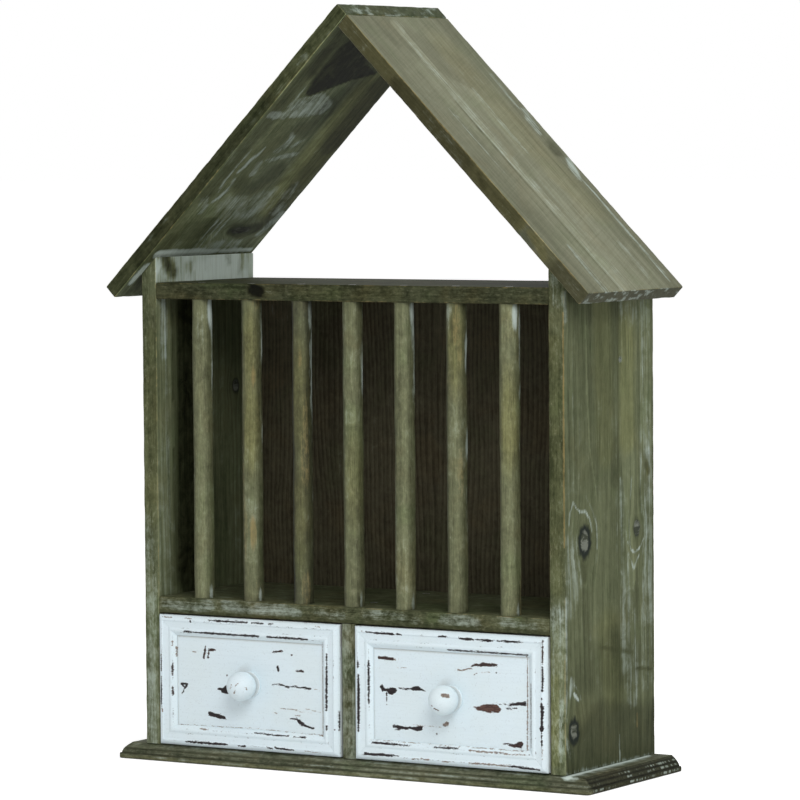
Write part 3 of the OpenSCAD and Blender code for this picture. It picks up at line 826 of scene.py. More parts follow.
class BOOKSHELF_OT_base(bpy.types.Operator):
    """Build the base board with its moulded edge and sawn ends"""
    bl_idname = "bookshelf.base"
    bl_label = "Base board"

    def execute(self, context):
        start, end = low("base_board"), high("base_board")
        wide, deep = (end - start)[:2]
        section = BASE_EDGE + [(x, BASE_THICK) for x in np.arange(12.8, 41, 2.5)]
        rows = [[(x, y, up) for x, y in base_loop(start, end, step, int(wide // 4), int(deep // 1.4))]
                for step, up in section]
        points = np.concatenate(rows)
        inset = np.repeat([step for step, _ in section], len(rows[0]))
        edge = np.maximum(band(points[:, 2], 5.3, 1.6) * (inset < 2.5), band(points[:, 2], 15.6, 1.8) * (inset < 13))
        outer = unit(smooth_noise(points, 9, 3) * 0.6 + smooth_noise(points, 3.5, 4) * 0.4) * edge
        x, y = points[:, 0], points[:, 1]
        inward = as_places(-np.sign(x) * unit(np.abs(x) - 240), np.where(y < FRONT + 6, 1, 0), x * 0 - 0.5)
        points = points + inward * (outer * 0.7)[:, None]
        made = {"edge": edge * 0.9, **painted_on(len(points))}
        x, y, z = points.T
        # Dark lines in the steps and at the foot of the moulding, painted shadow, and the right end in painted shade;
        # broken pale lines along their edges
        broken = unit(smooth_noise(as_places(x + y, y * 0, z * 2), (16, 9, 9), 5) + 0.3)
        on_side = (z < 15.8) * 1.0
        on_end = unit((np.abs(x) - 264) / 5) * unit((y - start[1] - 6) / 4) * on_side
        made["dark"] = on_side * (0.8 * band(z, 10.2, 1.7) + 0.9 * band(z, 5.7, 1.2) + 0.6 * band(z, 0, 1.2)
                                  + on_end * (0.7 * band(z, 13.4, 0.9) + 0.3 * (x > 0)))
        made["pale"] = broken * (0.5 * (band(z, 8, 1.6) + band(z, 14.4, 1.2)) * (1 - on_end) + 0.6 * band(z, 3.3, 1.8))
        made["rub"] = 0.5 * band(z, 1.2, 1.2) * unit(smooth_noise(points, 7, 12) + 0.3)
        made["warm"] = 0.8 * band(z, 2.5, 3)
        # Short upright streaks where the ends are sawn across the grain
        streak = unit(smooth_noise(as_places(y, y * 0, z * 0.1), 2.2, 6) * 2.2 + 0.4)
        steps = unit(1.6 * band(z, 11.8, 1.8) + 1.6 * band(z, 8, 1.8) + 1.4 * band(z, 3, 2.2))
        patchy = unit(smooth_noise(as_places(y, y * 0, z), (20, 9, 9), 7) * 1.1 + 0.95 + y / 400)
        foot = painted_on(len(points))
        paint(foot, points, 1, FOOT_MARKS)
        made["pale"] += 1.1 * on_end * streak * steps * patchy + foot["pale"]
        # Tone: lighter about the middle of the front; the sawn ends darker, the right one more, as painted shade; the
        # top darker towards the right
        made["tone"] = ((0.06 + 0.14 * np.clip(1 - np.abs(x - 40) / 130, -1, 1)) * on_side
                        - 0.6 * on_end * np.where(x > 0, 1, 0.5) - 0.2 * (1 - on_side) * unit((x - 150) / 60))
        made["mottle"] = on_side * 0.5
        material = stained("Base board stain", ALONG_X, (0, 0, 0), srgb(116, 119, 98), srgb(58, 62, 46), 2.3, 7,
                           wash=0.36, figure=0.1, heart=60)
        piece = make_mesh("base_board_moulded", points, skin(len(rows), len(rows[0])), made, material)
        finish_piece(piece, "case", "stained_wood", "base_board")
        return {"FINISHED"}


BEVEL_FROM = 480  # height from which a side panel is stretched to meet the roof


def side_shape(points):
    """Lifts the top of a side panel to the slope of the roof."""
    x, y, z = points.T
    share = np.maximum((z - BEVEL_FROM) / (PANEL_TOP - BEVEL_FROM), 0)
    lifted = BEVEL_FROM + share * (UNDER_ROOF - np.abs(x) - BEVEL_FROM)
    return as_places(x, y, np.where(z > BEVEL_FROM, lifted, z))


# Knots of the side panels: height, depth from the middle, half height, half depth, darkness of the ring
RIGHT_KNOTS = ((243, -52.3, 16, 12.5, 1), (248, 54.5, 10, 8.5, 0.2), (58, -75.5, 13, 10, 1), (419, 21, 3.2, 3.8, 0.1))
LEFT_KNOTS = ((205, -20, 10, 8, 1), (380, 55, 8, 7, 0.6), (95, 40, 6, 5, 0.8))

# Marks on the outer face of the right side: kind, strength, softness: depth, height, half width
# The dark line along the top is painted shadow under the eaves
RIGHT_MARKS = rows_of("""
tone .34 16: 54 450 6, 54 200 6; tone .5 14: 94 460 8, 94 340 8;
tone -.16 20: -60 488 10, -20 440 20, -10 360 16, -10 300 6; tone -.2 6: 24 490 7, 24 300 6;
tone -.42 20: -70 30 10, 0 44 30, 100 36 20; tone -.26 26: -40 110 6, 20 118 20, 60 112 8;
dark .42 5: -38 222 4, -37 206 2; tone -.2 8: -38 190 4, -30 130 5; tone .12 14: 58 470 10, 58 300 10;
warm .6 14: 50 460 8, 50 340 9; warm .4 14: 0 480 12, 6 330 10; warm .4 20: 10 150 12, 20 90 12;
tone .2 2.4: -34 480 .4, -31 390 .6, -26 335 .6, -16 298 .5, -9 270 .4, -8 230 .3;
dark .4 1.8: 32.5 490 .3, 32 300 .5, 33 160 .4, 33 30 .3; dark .3 2: 103 490 1, 104 250 1, 103 110 .8;
pale .3 14: 40 470 3, 60 465 6; pale .36 16: 88 470 4, 90 400 6, 88 345 6, 92 290 5, 92 230 5;
pale .6 8: 84 342 2, 90 325 5; dark .5 4: 90 311 1.5, 95 304 2; warm .7 5: 95 304 2;
pale .42 12: 38 292 3, 38 235 5, 48 170 12, 56 100 12, 60 76 5; pale .34 14: 96 230 4, 92 160 8, 90 90 5;
pale .5 3: 36 300 .6, 37 268 1.2, 38 240 .6; pale .28 16: -64 240 4, -62 205 7, -66 175 2;
pale .22 14: -50 380 6, -60 300 8; pale .45 3: -75 190 .6, -74 130 1.2, -75 70 .8;
pale .45 4: -74 488 1.5, -73 462 1.5; tone -.24 14: -60 500 8, -20 500 8;
pale .8 2: -68 262 .2, -66 274 .3, -60 283 .5, -53 277 .3, -46 273 .4, -36 273 .5, -27 265 .3, -22 252 .2;
pale .4 2.2: -34 287 .2, -22 274 .4, -13 258 .4, -12 235 .2;
pale .8 2: 51 236 .2, 58 227 .5, 66 224 .6, 76 228 .5, 83 236 .2;
pale .66 2: 53 224 .2, 60 212 .5, 64 208 .6, 70 217 .4, 76 222 .2; pale .5 2: 55 232 .3, 53 262 .3, 60 300 .2;
pale .5 2: 80 262 .3, 77 290 .4, 80 322 .2; pale .85 3: 37 419 2; tone -.2 6: 66 205 2, 68 180 3, 68 158 1;
pale 1.3 2.6: -60 95 .4, -56 92 1, -51 88 .6; pale .5 6: -68 96 2, -64 108 2;
pale .5 2.2: -66 106 .3, -58 103 .5, -50 96 .4, -46 88 .3; dark .3 3: -8 136 .5, 20 131 .6, 60 124 .5;
dark .5 2: 68 107 .4, 100 103 .5; dark .5 6: 104 70 2, 103 24 2; pale .8 2: 32.5 44 .3, 32 34 .6, 33 20 .7;
rub .5 3: 69 62 .3, 69 48 .7; pale .45 7: -72 48 2, -66 36 3; dark .6 4: -60 488 8, 0 492 6, 100 492 6;
pale .6 5: -76 16 2, -30 16 .6, 100 16 .3
""")
# Marks on the front edges of the sides: kind, strength, softness: from the middle, height, half width
RIGHT_EDGE_MARKS = rows_of("""
rub .62 1.4: 248.8 470 .2, 248.9 400 .5, 248.9 300 .6, 249 240 .2; rub .5 1.4: 248.9 130 .2, 248.9 40 .4;
warm .45 8: 240 440 4, 240 200 4; tone -.12 10: 240 440 4, 240 230 6; pale .4 9: 240 175 4, 240 140 5;
pale .3 9: 240 130 5, 240 24 6; warm .7 6: 237 110 2, 237 30 3; tone .8 30: 240 140 10, 240 20 10;
pale .35 7: 240 500 3, 243 480 4; pale .6 3: 245 90 .8, 244 30 1.2; dark .35 2: 232.6 150 .6, 232.6 20 .6
""")
LEFT_EDGE_MARKS = rows_of("""
pale .34 8: -246 250 2, -244 190 5, -243 110 5, -243 20 4; warm .4 8: -240 440 4, -240 250 4;
pale .3 5: -246 450 2, -246 380 1; tone -.2 6: -236 460 2, -236 300 2; tone .36 50: -240 160 10, -240 20 10
""")
# Marks on the outer face of the left side, which the photograph doesn't show
# Its dark line along the top is painted shadow under the eaves, as on the right side
LEFT_MARKS = rows_of("""
pale .42 18: -60 470 6, -62 300 6; pale .4 14: 60 320 6, 66 90 10; pale .5 5: -76 16 2, 100 16 .6;
pale .4 4: 20 300 .6, 22 180 1; tone -.34 24: -70 28 10, 100 34 18; tone -.22 10: -4 480 8, 4 120 8;
warm .5 16: 34 450 10, 34 280 10; dark .5 4: -76 488 5, 104 490 5
""")
# Marks on the inner face of the left side: kind, strength, softness: depth, height, half width
# Above the top shelf the pale wash is lifted by a light tone as painted light; below it, the pale strip at the front is
# painted light and the dark band behind it is the painted shadow of the first rod
LEFT_INNER_MARKS = rows_of("""
pale .84 8: -70 512 16, 100 512 16; tone 1.15 8: -70 512 16, 100 512 16; warm .2 8: -70 512 16, 100 512 16;
mottle .7 8: -70 512 16, 100 512 16; pale 1.25 8: 0 504 8, 70 512 10; pale 1.3 5: -72 506 2, -66 524 2;
dark 1 8: -62 526 6, -56 514 5, -44 504 3; pale 1.1 6: -20 519 4, 50 521 4; pale 1.15 6: -20 496 4, 90 496 5;
dark .35 5: -12 500 2, -16 512 1.5; dark .35 5: 56 524 3, 60 512 2; dark .35 4: 80 500 2, 84 520 2;
rub .4 3: 96 500 1, 97 524 1; pale .55 8: -66 476 5, -62 455 6, -64 420 4; pale .2 8: -62 400 8, -64 180 8;
tone .4 7: -64 476 11, -62 340 13, -66 180 9; dark 1 8: -14 462 20, -18 190 20; tone -.3 4: -46 460 1, -46 180 1
""")


class BOOKSHELF_OT_sides(bpy.types.Operator):
    """Build the two side panels, glued up from strips and cut to the roof"""
    bl_idname = "bookshelf.sides"
    bl_label = "Side panels"

    def execute(self, context):
        arris = context.scene.bookshelf_wood.arris / MM
        for side, sign, knots, seed, grid, outer, inner, front in (
                ("left", -1, LEFT_KNOTS, 5.1, 4, LEFT_MARKS, LEFT_INNER_MARKS, LEFT_EDGE_MARKS),
                ("right", 1, RIGHT_KNOTS, 9.4, 1.9, RIGHT_MARKS, (), RIGHT_EDGE_MARKS)):
            node = f"{side}_side"
            material = stained(f"Stain of the {side} side", UPRIGHT_SIDE, (250 * sign, 15.25, 0), srgb(118, 124, 94),
                               srgb(62, 68, 46), seed, 8.0, 37.0, 40.0, 0.26, 0.2, 0.14, 0.22, knots=knots)

            def values(made, points, outward):
                out = outward[:, 0] * sign
                paint(made, points[:, 1:], out < -0.5, inner)
                paint(made, points[:, 1:], out > 0.5, outer)
                paint(made, points[:, ::2], outward[:, 1] < -0.5, front)
                made["pale"] *= np.where(out > 0.5, 0.8, 0.9)
                made["tone"] -= np.where(np.abs(out) > 0.5, 0.1, 0.26)
            board(f"{side}_side_panel", node, grid, (arris, arris, 0.5), material, values,
                  box=(low(node), (*high(node)[:2], PANEL_TOP)), shape=side_shape, seed=seed)
        return {"FINISHED"}


# Marks on the front edges of the shelves: kind, strength, softness: from the middle, height, half width
MIDDLE_SHELF_MARKS = rows_of("""
pale .36 5: -225 163 2, -200 160 4, -170 163 4; pale .42 5: -150 165 3, -120 160 2;
pale .5 5: -110 162 3, -80 163 4, -60 160 2; pale .4 5: -40 163 2, -10 160 4;
pale .42 5: 20 162 2, 50 163 3, 80 160 2; pale .5 5: 110 163 3, 140 162 4, 150 160 3; pale .3 5: 180 163 2, 215 160 2;
tone -.3 6: -145 157 2, -130 160 2; tone -.3 6: 60 158 2, 100 157 2; dark .4 3: -230 154 1, 230 154 1
""")
TOP_SHELF_MARKS = rows_of("""
dark 1.2 4: -112 488 5, -104 486 4; pale .2 4: -95 486 3, -84 488 3; pale .35 4: -205 487 3, -180 490 2;
pale .45 4: 222 488 2, 228 482 2; warm .3 8: -60 486 3, 60 486 3
""")


class BOOKSHELF_OT_shelves(bpy.types.Operator):
    """Build the two shelves, the divider between the drawers and the thin back panel"""
    bl_idname = "bookshelf.shelves"
    bl_label = "Shelves, divider and back"

    def execute(self, context):
        arris = context.scene.bookshelf_wood.arris / MM
        flat, standing = (0.5, arris, arris), (arris, arris, 0.5)
        for name, node, turn, edges, seed, wash, tone, strip, rows in (
                ("middle_shelf_board", "middle_shelf", ALONG_X, flat, 1.7, 0.34, -0.22, 60, MIDDLE_SHELF_MARKS),
                ("top_shelf_board", "top_shelf", ALONG_X, flat, 3.9, 0.12, -0.58, 60, TOP_SHELF_MARKS),
                ("divider_board", "drawer_divider", UPRIGHT_SIDE, standing, 6.6, 0.78, 0.25, 90, ())):
            material = stained(f"Stain of the {node.replace('_', ' ')}", turn, (0, 15, 0), *MOSS, seed,
                               6.0, strip, 30, wash, 0.12, 0.1, 0.6)

            def values(made, points, outward):
                made["tone"] += tone
                paint(made, points[:, ::2], outward[:, 1] < -0.5, rows)
                made["pale"] *= 0.7
            board(name, node, 3, edges, material, values, seed=seed)
        material = stained("Stain of the back", UPRIGHT_FRONT, (0, 104, 0), srgb(88, 84, 66), srgb(52, 48, 36), 8.8,
                           5.0, 90, 40, 0.1, 0.4, 0.2)
        board("back_board", "back_panel", 8, (0.5, 0.5, 0.5), material, slot="dark_back", seed=8.8)
        return {"FINISHED"}


def roof_shape(points, sign):
    """Turns a flat board, laid out down the slope, across and through, into its place; the right one is mirrored."""
    down, depth, through = points.T
    if sign < 0:
        # Its sharp edge along the ridge is rubbed flat
        through = np.maximum(through, 1 - down / 8)
    x = sign * (down * math.cos(SLOPE) - through * math.sin(SLOPE))
    return as_places(x, depth, RIDGE - down * math.sin(SLOPE) - through * math.cos(SLOPE))


LEFT_ROOF_KNOTS = ((309, 44, 6, 24, 0.3),)

# Marks on the roof, laid flat: kind, strength, softness: down the slope, depth, half width
TOP_MARKS = rows_of("""
pale .28 8: 30 -12 3, 100 -14 5, 150 -16 5, 220 -16 7, 320 -16 7, 400 -17 6;
pale .3 5: 190 -21 1.2, 300 -22 1.6, 400 -22 1.6; pale .4 5: 205 -16 4, 212 -18 4;
dark .45 2: 140 -26 .3, 180 -27 .8, 260 -27 .8, 400 -26 .6; pale .4 5: 342 -50 1.2, 400 -55 3;
pale .26 5: 150 -50 2, 240 -52 2; warm .3 26: 60 50 10, 200 50 14, 290 62 8; tone -.12 10: 60 72 4, 330 72 4;
tone -.1 16: 60 -64 8, 200 -66 10, 320 -60 8; tone -.16 26: 20 -60 12, 110 60 20; tone .16 24: 260 30 16, 390 20 20;
tone .3 7: 30 -12 4, 220 -17 6, 400 -17 7; tone .1 20: 90 20 8, 200 20 8; pale .4 4: 100 92 .6, 150 89 1;
pale .6 6: 152 96 2, 168 90 5, 184 86 2; pale .6 6: 224 99 2, 236 90 4, 250 85 2;
pale .5 3: 248 88 1, 270 90.5 1.4, 395 88 1; dark .42 7: 200 96 3, 208 88 7, 213 82 2;
tone -.22 14: 20 92 8, 400 92 8; pale .36 12: 345 50 5, 380 48 5; tone -.2 14: 20 -82 8, 400 -82 8;
tone .14 12: 270 -34 5, 400 -34 5; pale .3 8: 30 -8 5, 36 -10 4; pale .34 5: 120 30 1, 210 28 2;
pale .26 4: 250 4 1, 395 0 2
""")
LEFT_TOP_MARKS = rows_of("""
pale .5 30: 30 50 10, 200 62 22, 390 55 30; pale .44 26: 40 -40 16, 390 -30 20; pale .3 5: 60 -70 1, 240 -72 2;
dark .4 2: 100 8 .5, 300 9 .8; tone -.14 14: 20 92 8, 400 92 8
""")
# On the under side of the left board, the dark patch near the ridge is painted shadow of the right board; the band
# along the back is darker
UNDER_MARKS = rows_of("""
tone -.84 18: 90 84 12, 180 86 14; tone -.6 16: 180 86 14, 290 88 10; tone -.5 12: 60 -74 8, 250 -76 8;
tone -.5 12: 320 -76 8, 400 -74 8; tone .8 18: 322 50 12, 326 10 12; tone -.6 16: 76 46 10, 130 24 12;
dark 1.2 3: 80 54 0, 78 10 14, 88 -20 17, 101 -36 11; dark 1.15 12: 60 10 14, 52 -36 14, 90 -40 8;
dark .8 18: 26 -60 18, 70 -58 10; tone -.6 16: 100 78 18, 160 82 18; tone -.36 16: 160 84 16, 255 86 12;
tone -.3 10: 100 30 8, 150 38 6; warm 1 20: 110 70 24, 260 70 20; warm .3 30: 40 -60 20, 340 -50 30;
tone .35 20: 262 60 14, 280 20 16, 270 -30 10; tone .3 10: 330 90 10, 334 0 8;
pale .4 8: 128 10 9, 126 -16 15, 130 -44 12; pale .4 3: 100 -55 1, 140 -55 2; pale .42 5: 142 -50 3, 140 -78 3;
dark .4 4: 118 14 1, 124 28 1.4, 140 33 2, 158 30 1; dark .5 9: 160 16 9, 158 -4 5;
dark .5 9: 222 18 9, 244 6 7, 249 -14 5, 236 -34 7; dark .3 8: 180 -26 6, 220 -36 6;
tone -.3 10: 300 -20 12, 312 -60 12; dark .4 4: 232 52 1.6, 238 44 2.4; dark .35 4: 244 76 1, 246 66 2.4;
pale .4 6: 165 -12 1.4, 172 -4 1.6, 184 -3 4, 192 -12 3; pale .34 4: 176 22 1.4, 186 10 2;
pale .34 4.5: 196 32 1.4, 200 10 2, 206 -14 1.6; pale .4 5: 210 -25 3, 224 -22 4;
pale .44 4: 188 -38 .8, 197 -41 1.4, 205 -46 1.6, 214 -47 1.6, 222 -51 1;
pale .44 4: 232 -47 .8, 240 -43 1.4, 250 -44 1.8, 258 -48 1.4, 264 -53 .8;
pale .36 3.5: 190 -60 .6, 214 -62 1, 236 -62 1, 250 -58 .8; pale .36 7: 262 -72 5, 278 -60 4;
pale .3 16: 262 56 12, 272 36 14, 272 -20 10; pale .3 12: 250 76 6, 275 80 8;
pale .44 2.6: 258 3 .6, 300 4 1, 338 1 1; pale .44 2.6: 254 -7 .6, 300 -6 1, 338 -9 1;
pale .4 2.6: 254 -16 .6, 300 -15 .8, 338 -19 1; pale .44 6: 290 98 5, 314 86 3;
dark .8 6: 307 74 5, 311 52 8, 307 28 6; tone -.25 14: 318 -50 8, 310 -74 8;
pale .7 5: 340 96 1, 340 20 1.6, 340 0 4, 341 -76 4; pale .36 10: 330 60 4, 332 10 4; pale .34 6: 30 -80 3, 60 -78 3;
dark .5 4: 344 100 1, 344 -80 1; pale .6 6: 358 -79 3, 380 -82 3; dark .5 5: 375 -70 5, 395 -50 8;
tone -.2 5: 20 -88 2, 400 -88 2
""")
# Marks on the front edges of the roof boards: kind, strength, softness: down the slope, through, half width
RIGHT_RAKE_MARKS = rows_of("""
rub .42 1.6: 40 .6 .3, 150 .6 .8, 300 .6 .8, 392 .6 .4; warm 1.3 7: 20 6 6, 300 6 6; tone -.5 9: 110 8 6, 215 8 6;
warm 1.2 4: 316 5 1.6, 334 6 4, 345 11 3; rub .3 4: 320 5 1, 336 8 3; pale .15 6: 30 8 4, 50 10 3;
pale .14 4: 150 5 1, 165 10 2, 190 8 2, 215 10 1; pale .2 5: 270 6 2, 300 8 3, 312 11 2;
pale .18 4: 352 4 1, 366 7 2, 392 5 2; tone 1.1 14: 314 6 4, 344 8 5; warm .7 12: 350 6 6, 400 6 6;
dark .4 3: 100 9 1, 112 12 1.4; dark .4 3: 236 6 1, 250 11 1.4
""")
LEFT_RAKE_MARKS = rows_of("""
tone 1.3 20: 0 8 8, 100 8 8; pale .25 4: 60 8 1.5, 130 10 1.5, 180 7 1; warm .6 12: 0 8 8, 400 8 8;
pale .25 4: 300 7 2, 330 5 2; rub .4 1.5: 40 15.2 .3, 120 15.2 .6; tone .5 14: 370 8 6, 400 8 6
""")

# Looks of the roof boards: two stains; mottle, saw marks and swirl; tones of the under side, the upper face, the ends
# and the long edges; warmth of the upper face; pale patches on the ends
ROOF_LOOKS = {
    "left": (srgb(128, 137, 108), srgb(62, 70, 46), (0.4, 0.1, 0.5), (-0.08, 0.3, -0.66, -0.88), 0.4, 0.45),
    "right": (srgb(146, 148, 126), srgb(104, 106, 86), (0.16, 0.4, 0.0), (-0.3, -0.22, -0.76, -0.84), 0.0, 0.85)}


class BOOKSHELF_OT_roof(bpy.types.Operator):
    """Build the two roof boards; the left one runs up to the ridge and shows its square end"""
    bl_idname = "bookshelf.roof"
    bl_label = "Roof boards"

    def execute(self, context):
        arris = context.scene.bookshelf_wood.arris / MM
        back = high("right_roof_board")[1]
        for side, sign, start, knots, turn, seed, top, under, rake in (
                ("left", -1, 0.0, LEFT_ROOF_KNOTS, DOWN_LEFT, 4.2, LEFT_TOP_MARKS, UNDER_MARKS, LEFT_RAKE_MARKS),
                ("right", 1, ROOF_THICK, (), DOWN_RIGHT, 7.7, TOP_MARKS, (), RIGHT_RAKE_MARKS)):
            light, dark, rough, tones, warmth, patches = ROOF_LOOKS[side]

            def values(made, points, outward):
                x, y, z = points.T
                down, through = (RIDGE - z + sign * x) * math.sqrt(0.5), (RIDGE - z - sign * x) * math.sqrt(0.5)
                face, ends = outward[:, 2], np.abs(outward[:, 0]) > 0.5
                ground = np.select([face > 0.5, face < -0.5, ends], tones[:3], tones[3])
                made["warm"] += warmth * (face < -0.5)
                made["pale"] += ends * patches * unit(smooth_noise(as_places(y, z, x), (7, 3, 3), 11) * 1.3 + 0.3)
                paint(made, as_places(down, y), face < -0.5, top)
                paint(made, as_places(down, y), face > 0.5, under)
                paint(made, as_places(down, through), outward[:, 1] < -0.5, rake)
                made["tone"] = ground + made["tone"] * (1 + ground)
                made["pale"] *= np.where(face > 0.5, 1.7, 1)
            material = stained(f"Stain of the {side} roof board", turn, (0, 0, RIDGE), light, dark, seed, 9.0, 1000, 90,
                               0.22, 0.14, 0.0, *rough, knots)
            board(f"{side}_roof_boarding", f"{side}_roof_board", 2.4, (arris, arris, arris), material, values,
                  slot="roof_wood", box=((start, ROOF_FRONT, 0), (ROOF_LONG, back, ROOF_THICK)),
                  shape=lambda points: roof_shape(points, sign), mirrored=sign > 0, seed=seed)
        return {"FINISHED"}


# ---- Repeated pieces, made with Geometry Nodes ----

def grown(name, tree, points, inputs):
    """Runs a Geometry Nodes tree on a few points and returns its result as a plain mesh object."""
    seed_mesh = bpy.data.meshes.new(name + "_places")
    seed_mesh.from_pydata([tuple(Vector(p) * MM) for p in points], [], [])
    holder = bpy.data.objects.new(name + "_places", seed_mesh)
    bpy.context.scene.collection.objects.link(holder)
    modifier = holder.modifiers.new("Shape", "NODES")
    modifier.node_group = tree
    sockets = {item.name: item.identifier for item in tree.interface.items_tree if item.in_out == "INPUT"}
    for key, value in inputs.items():
        modifier[sockets[key]] = value
    view = bpy.context.evaluated_depsgraph_get()
    mesh = bpy.data.meshes.new_from_object(holder.evaluated_get(view), depsgraph=view)
    mesh.name = name
    piece = bpy.data.objects.new(name, mesh)
    bpy.context.scene.collection.objects.link(piece)
    holder.modifiers.remove(modifier)
    bpy.data.objects.remove(holder)
    return piece


def rods_tree():
    """Upright rods, planed nearly square with round corners, on the given points."""
    tree, n, i, send = new_tree("Rods", "GeometryNodeTree", {
        "Geometry": None, "Length": 0.307, "Width": 0.019, "Rounding": 0.0056, "Dents": 0.0006, "Seed": 2.0,
        "Material": None}, ("Geometry",))
    middle = n.value("GeometryNodeCurvePrimitiveLine", {"End": n.joined(0, 0, i["Length"])})
    middle = n.value("GeometryNodeResampleCurve", {"Curve": middle, "Count": 90})
    square = n.value("GeometryNodeCurvePrimitiveQuadrilateral", {"Width": i["Width"], "Height": i["Width"]})
    rounded = n.value("GeometryNodeFilletCurve", {"Curve": square, "Radius": i["Rounding"], "Count": 5}, mode="POLY")
    section = n.value("GeometryNodeResampleCurve", {"Curve": rounded, "Count": 44})
    rod = n.value("GeometryNodeCurveToMesh", {"Curve": middle, "Profile Curve": section, "Fill Caps": True})
    placed = n.value("GeometryNodeInstanceOnPoints", {"Points": i["Geometry"], "Instance": rod})
    real = n.value("GeometryNodeRealizeInstances", {"Geometry": placed})
    place = n.value("GeometryNodeInputPosition")
    outward = n.stretched(n.value("GeometryNodeInputNormal"), 1, 1, 0)
    shift = n.joined(i["Seed"], 0, 0)
    wave, dent = (n.noise(n.vector("ADD", n.stretched(place, *by), shift)) for by in ((55, 55, 16), (150, 150, 60)))
    deep = (wave.ramp(0.35, 0.75) + dent.ramp(0.5, 0.8) * 0.8) * (i["Dents"] * -1)
    moved = n.value("GeometryNodeSetPosition", {
        "Geometry": real, "Offset": n.vector("MULTIPLY", outward, n.joined(deep, deep, 0))})
    smooth = n.value("GeometryNodeSetShadeSmooth", {"Geometry": moved})
    send(Geometry=n.value("GeometryNodeSetMaterial", {"Geometry": smooth, "Material": i["Material"]}))
    return tree


def screws_tree():
    """Countersunk screws with a cross in the head, pointing down from the given points."""
    tree, n, i, send = new_tree("Screws", "GeometryNodeTree", {
        "Geometry": None, "Head": 0.008, "Shank": 0.004, "Length": 0.04, "Turn": (0, 0, 0), "Material": None},
        ("Geometry",))
    head, shank = i["Head"], i["Shank"]
    cone_high = (head - shank) * 0.5
    cone = n.value("GeometryNodeMeshCone", {"Vertices": 28, "Radius Top": head * 0.5, "Radius Bottom": shank * 0.49,
                                            "Depth": cone_high})
    cone = n.value("GeometryNodeTransform", {"Geometry": cone, "Translation": n.joined(0, 0, cone_high * -1)})
    cut = n.put("GeometryNodeMeshBoolean", {0: cone}, operation="DIFFERENCE", solver="EXACT")
    for along, across in ((0.62, 0.12), (0.12, 0.62)):
        n.set(cut.inputs[1], n.value("GeometryNodeMeshCube", {
            "Size": n.joined(head * along, head * across, cone_high * 1.1)}))
    long = i["Length"] - cone_high
    pin = n.value("GeometryNodeMeshCylinder", {"Vertices": 20, "Side Segments": 12, "Radius": shank * 0.49,
                                               "Depth": long})
    pin = n.value("GeometryNodeTransform", {
        "Geometry": pin, "Translation": n.joined(0, 0, long * -0.5 - cone_high * 0.98)})
    whole = n.put("GeometryNodeJoinGeometry", {0: Value(n, cut.outputs[0])})
    n.set(whole.inputs[0], pin)
    turned = n.value("GeometryNodeTransform", {"Geometry": Value(n, whole.outputs[0]), "Rotation": i["Turn"]})
    placed = n.value("GeometryNodeInstanceOnPoints", {"Points": i["Geometry"], "Instance": turned})
    real = n.value("GeometryNodeRealizeInstances", {"Geometry": placed})
    send(Geometry=n.value("GeometryNodeSetMaterial", {"Geometry": real, "Material": i["Material"]}))
    return tree


def rod_places(height):
    """Where the middle lines of the rods pass this height."""
    return [(*(low(f"rod_{k}") + high(f"rod_{k}"))[:2] / 2, height) for k in RODS]


ROD_TONE = (-0.12, -0.26, -0.58, -0.28, -0.22, -0.3, -0.1)

# Marks on the rods: kind, rod, place on it to the right and back, height, half width, softness, strength
ROD_MARKS = rows_of("""
pale 1 9 1 468 3 3 1.2; pale 1 9 3 448 1 3 .8; pale 1 3 -9 440 2 5 .3; pale 5 9 0 470 2 4 1;
pale 7 8 -4 466 1.5 3 1.2; pale 7 9 3 455 1 3 .8; pale 7 9.5 3 420 .5 2 .7; pale 7 9.5 3 390 .5 2 .7;
pale 3 9 0 468 2 4 .7; pale 6 -2 -9 470 2 5 .5; warm 2 4 -9 430 4 8 1; warm 2 4 -9 350 5 9 1; rub 2 6 -7 400 1 4 .6;
rub 2 5 -8 240 2 5 .6; rub 3 3 -9 420 1 4 .5; warm 3 2 -9 380 6 12 .9; warm 3 2 -9 260 6 12 .7; rub 6 4 -9 452 2 4 .5;
warm 6 4 -9 440 4 10 1; warm 7 4 -9 360 5 9 .9; dark 6 0 -9 456 1 2 .7; warm 4 6 -7 300 4 12 .6;
pale 1 -6 -8 300 1 4 .35; pale 1 9 -2 171 1 3 .9; pale 2 9 -2 171 1 3 .7; pale 4 9 -2 171 1 3 .7;
pale 5 9 -2 171 1 3 .7; pale 7 9 -2 171 1 3 .8
""")


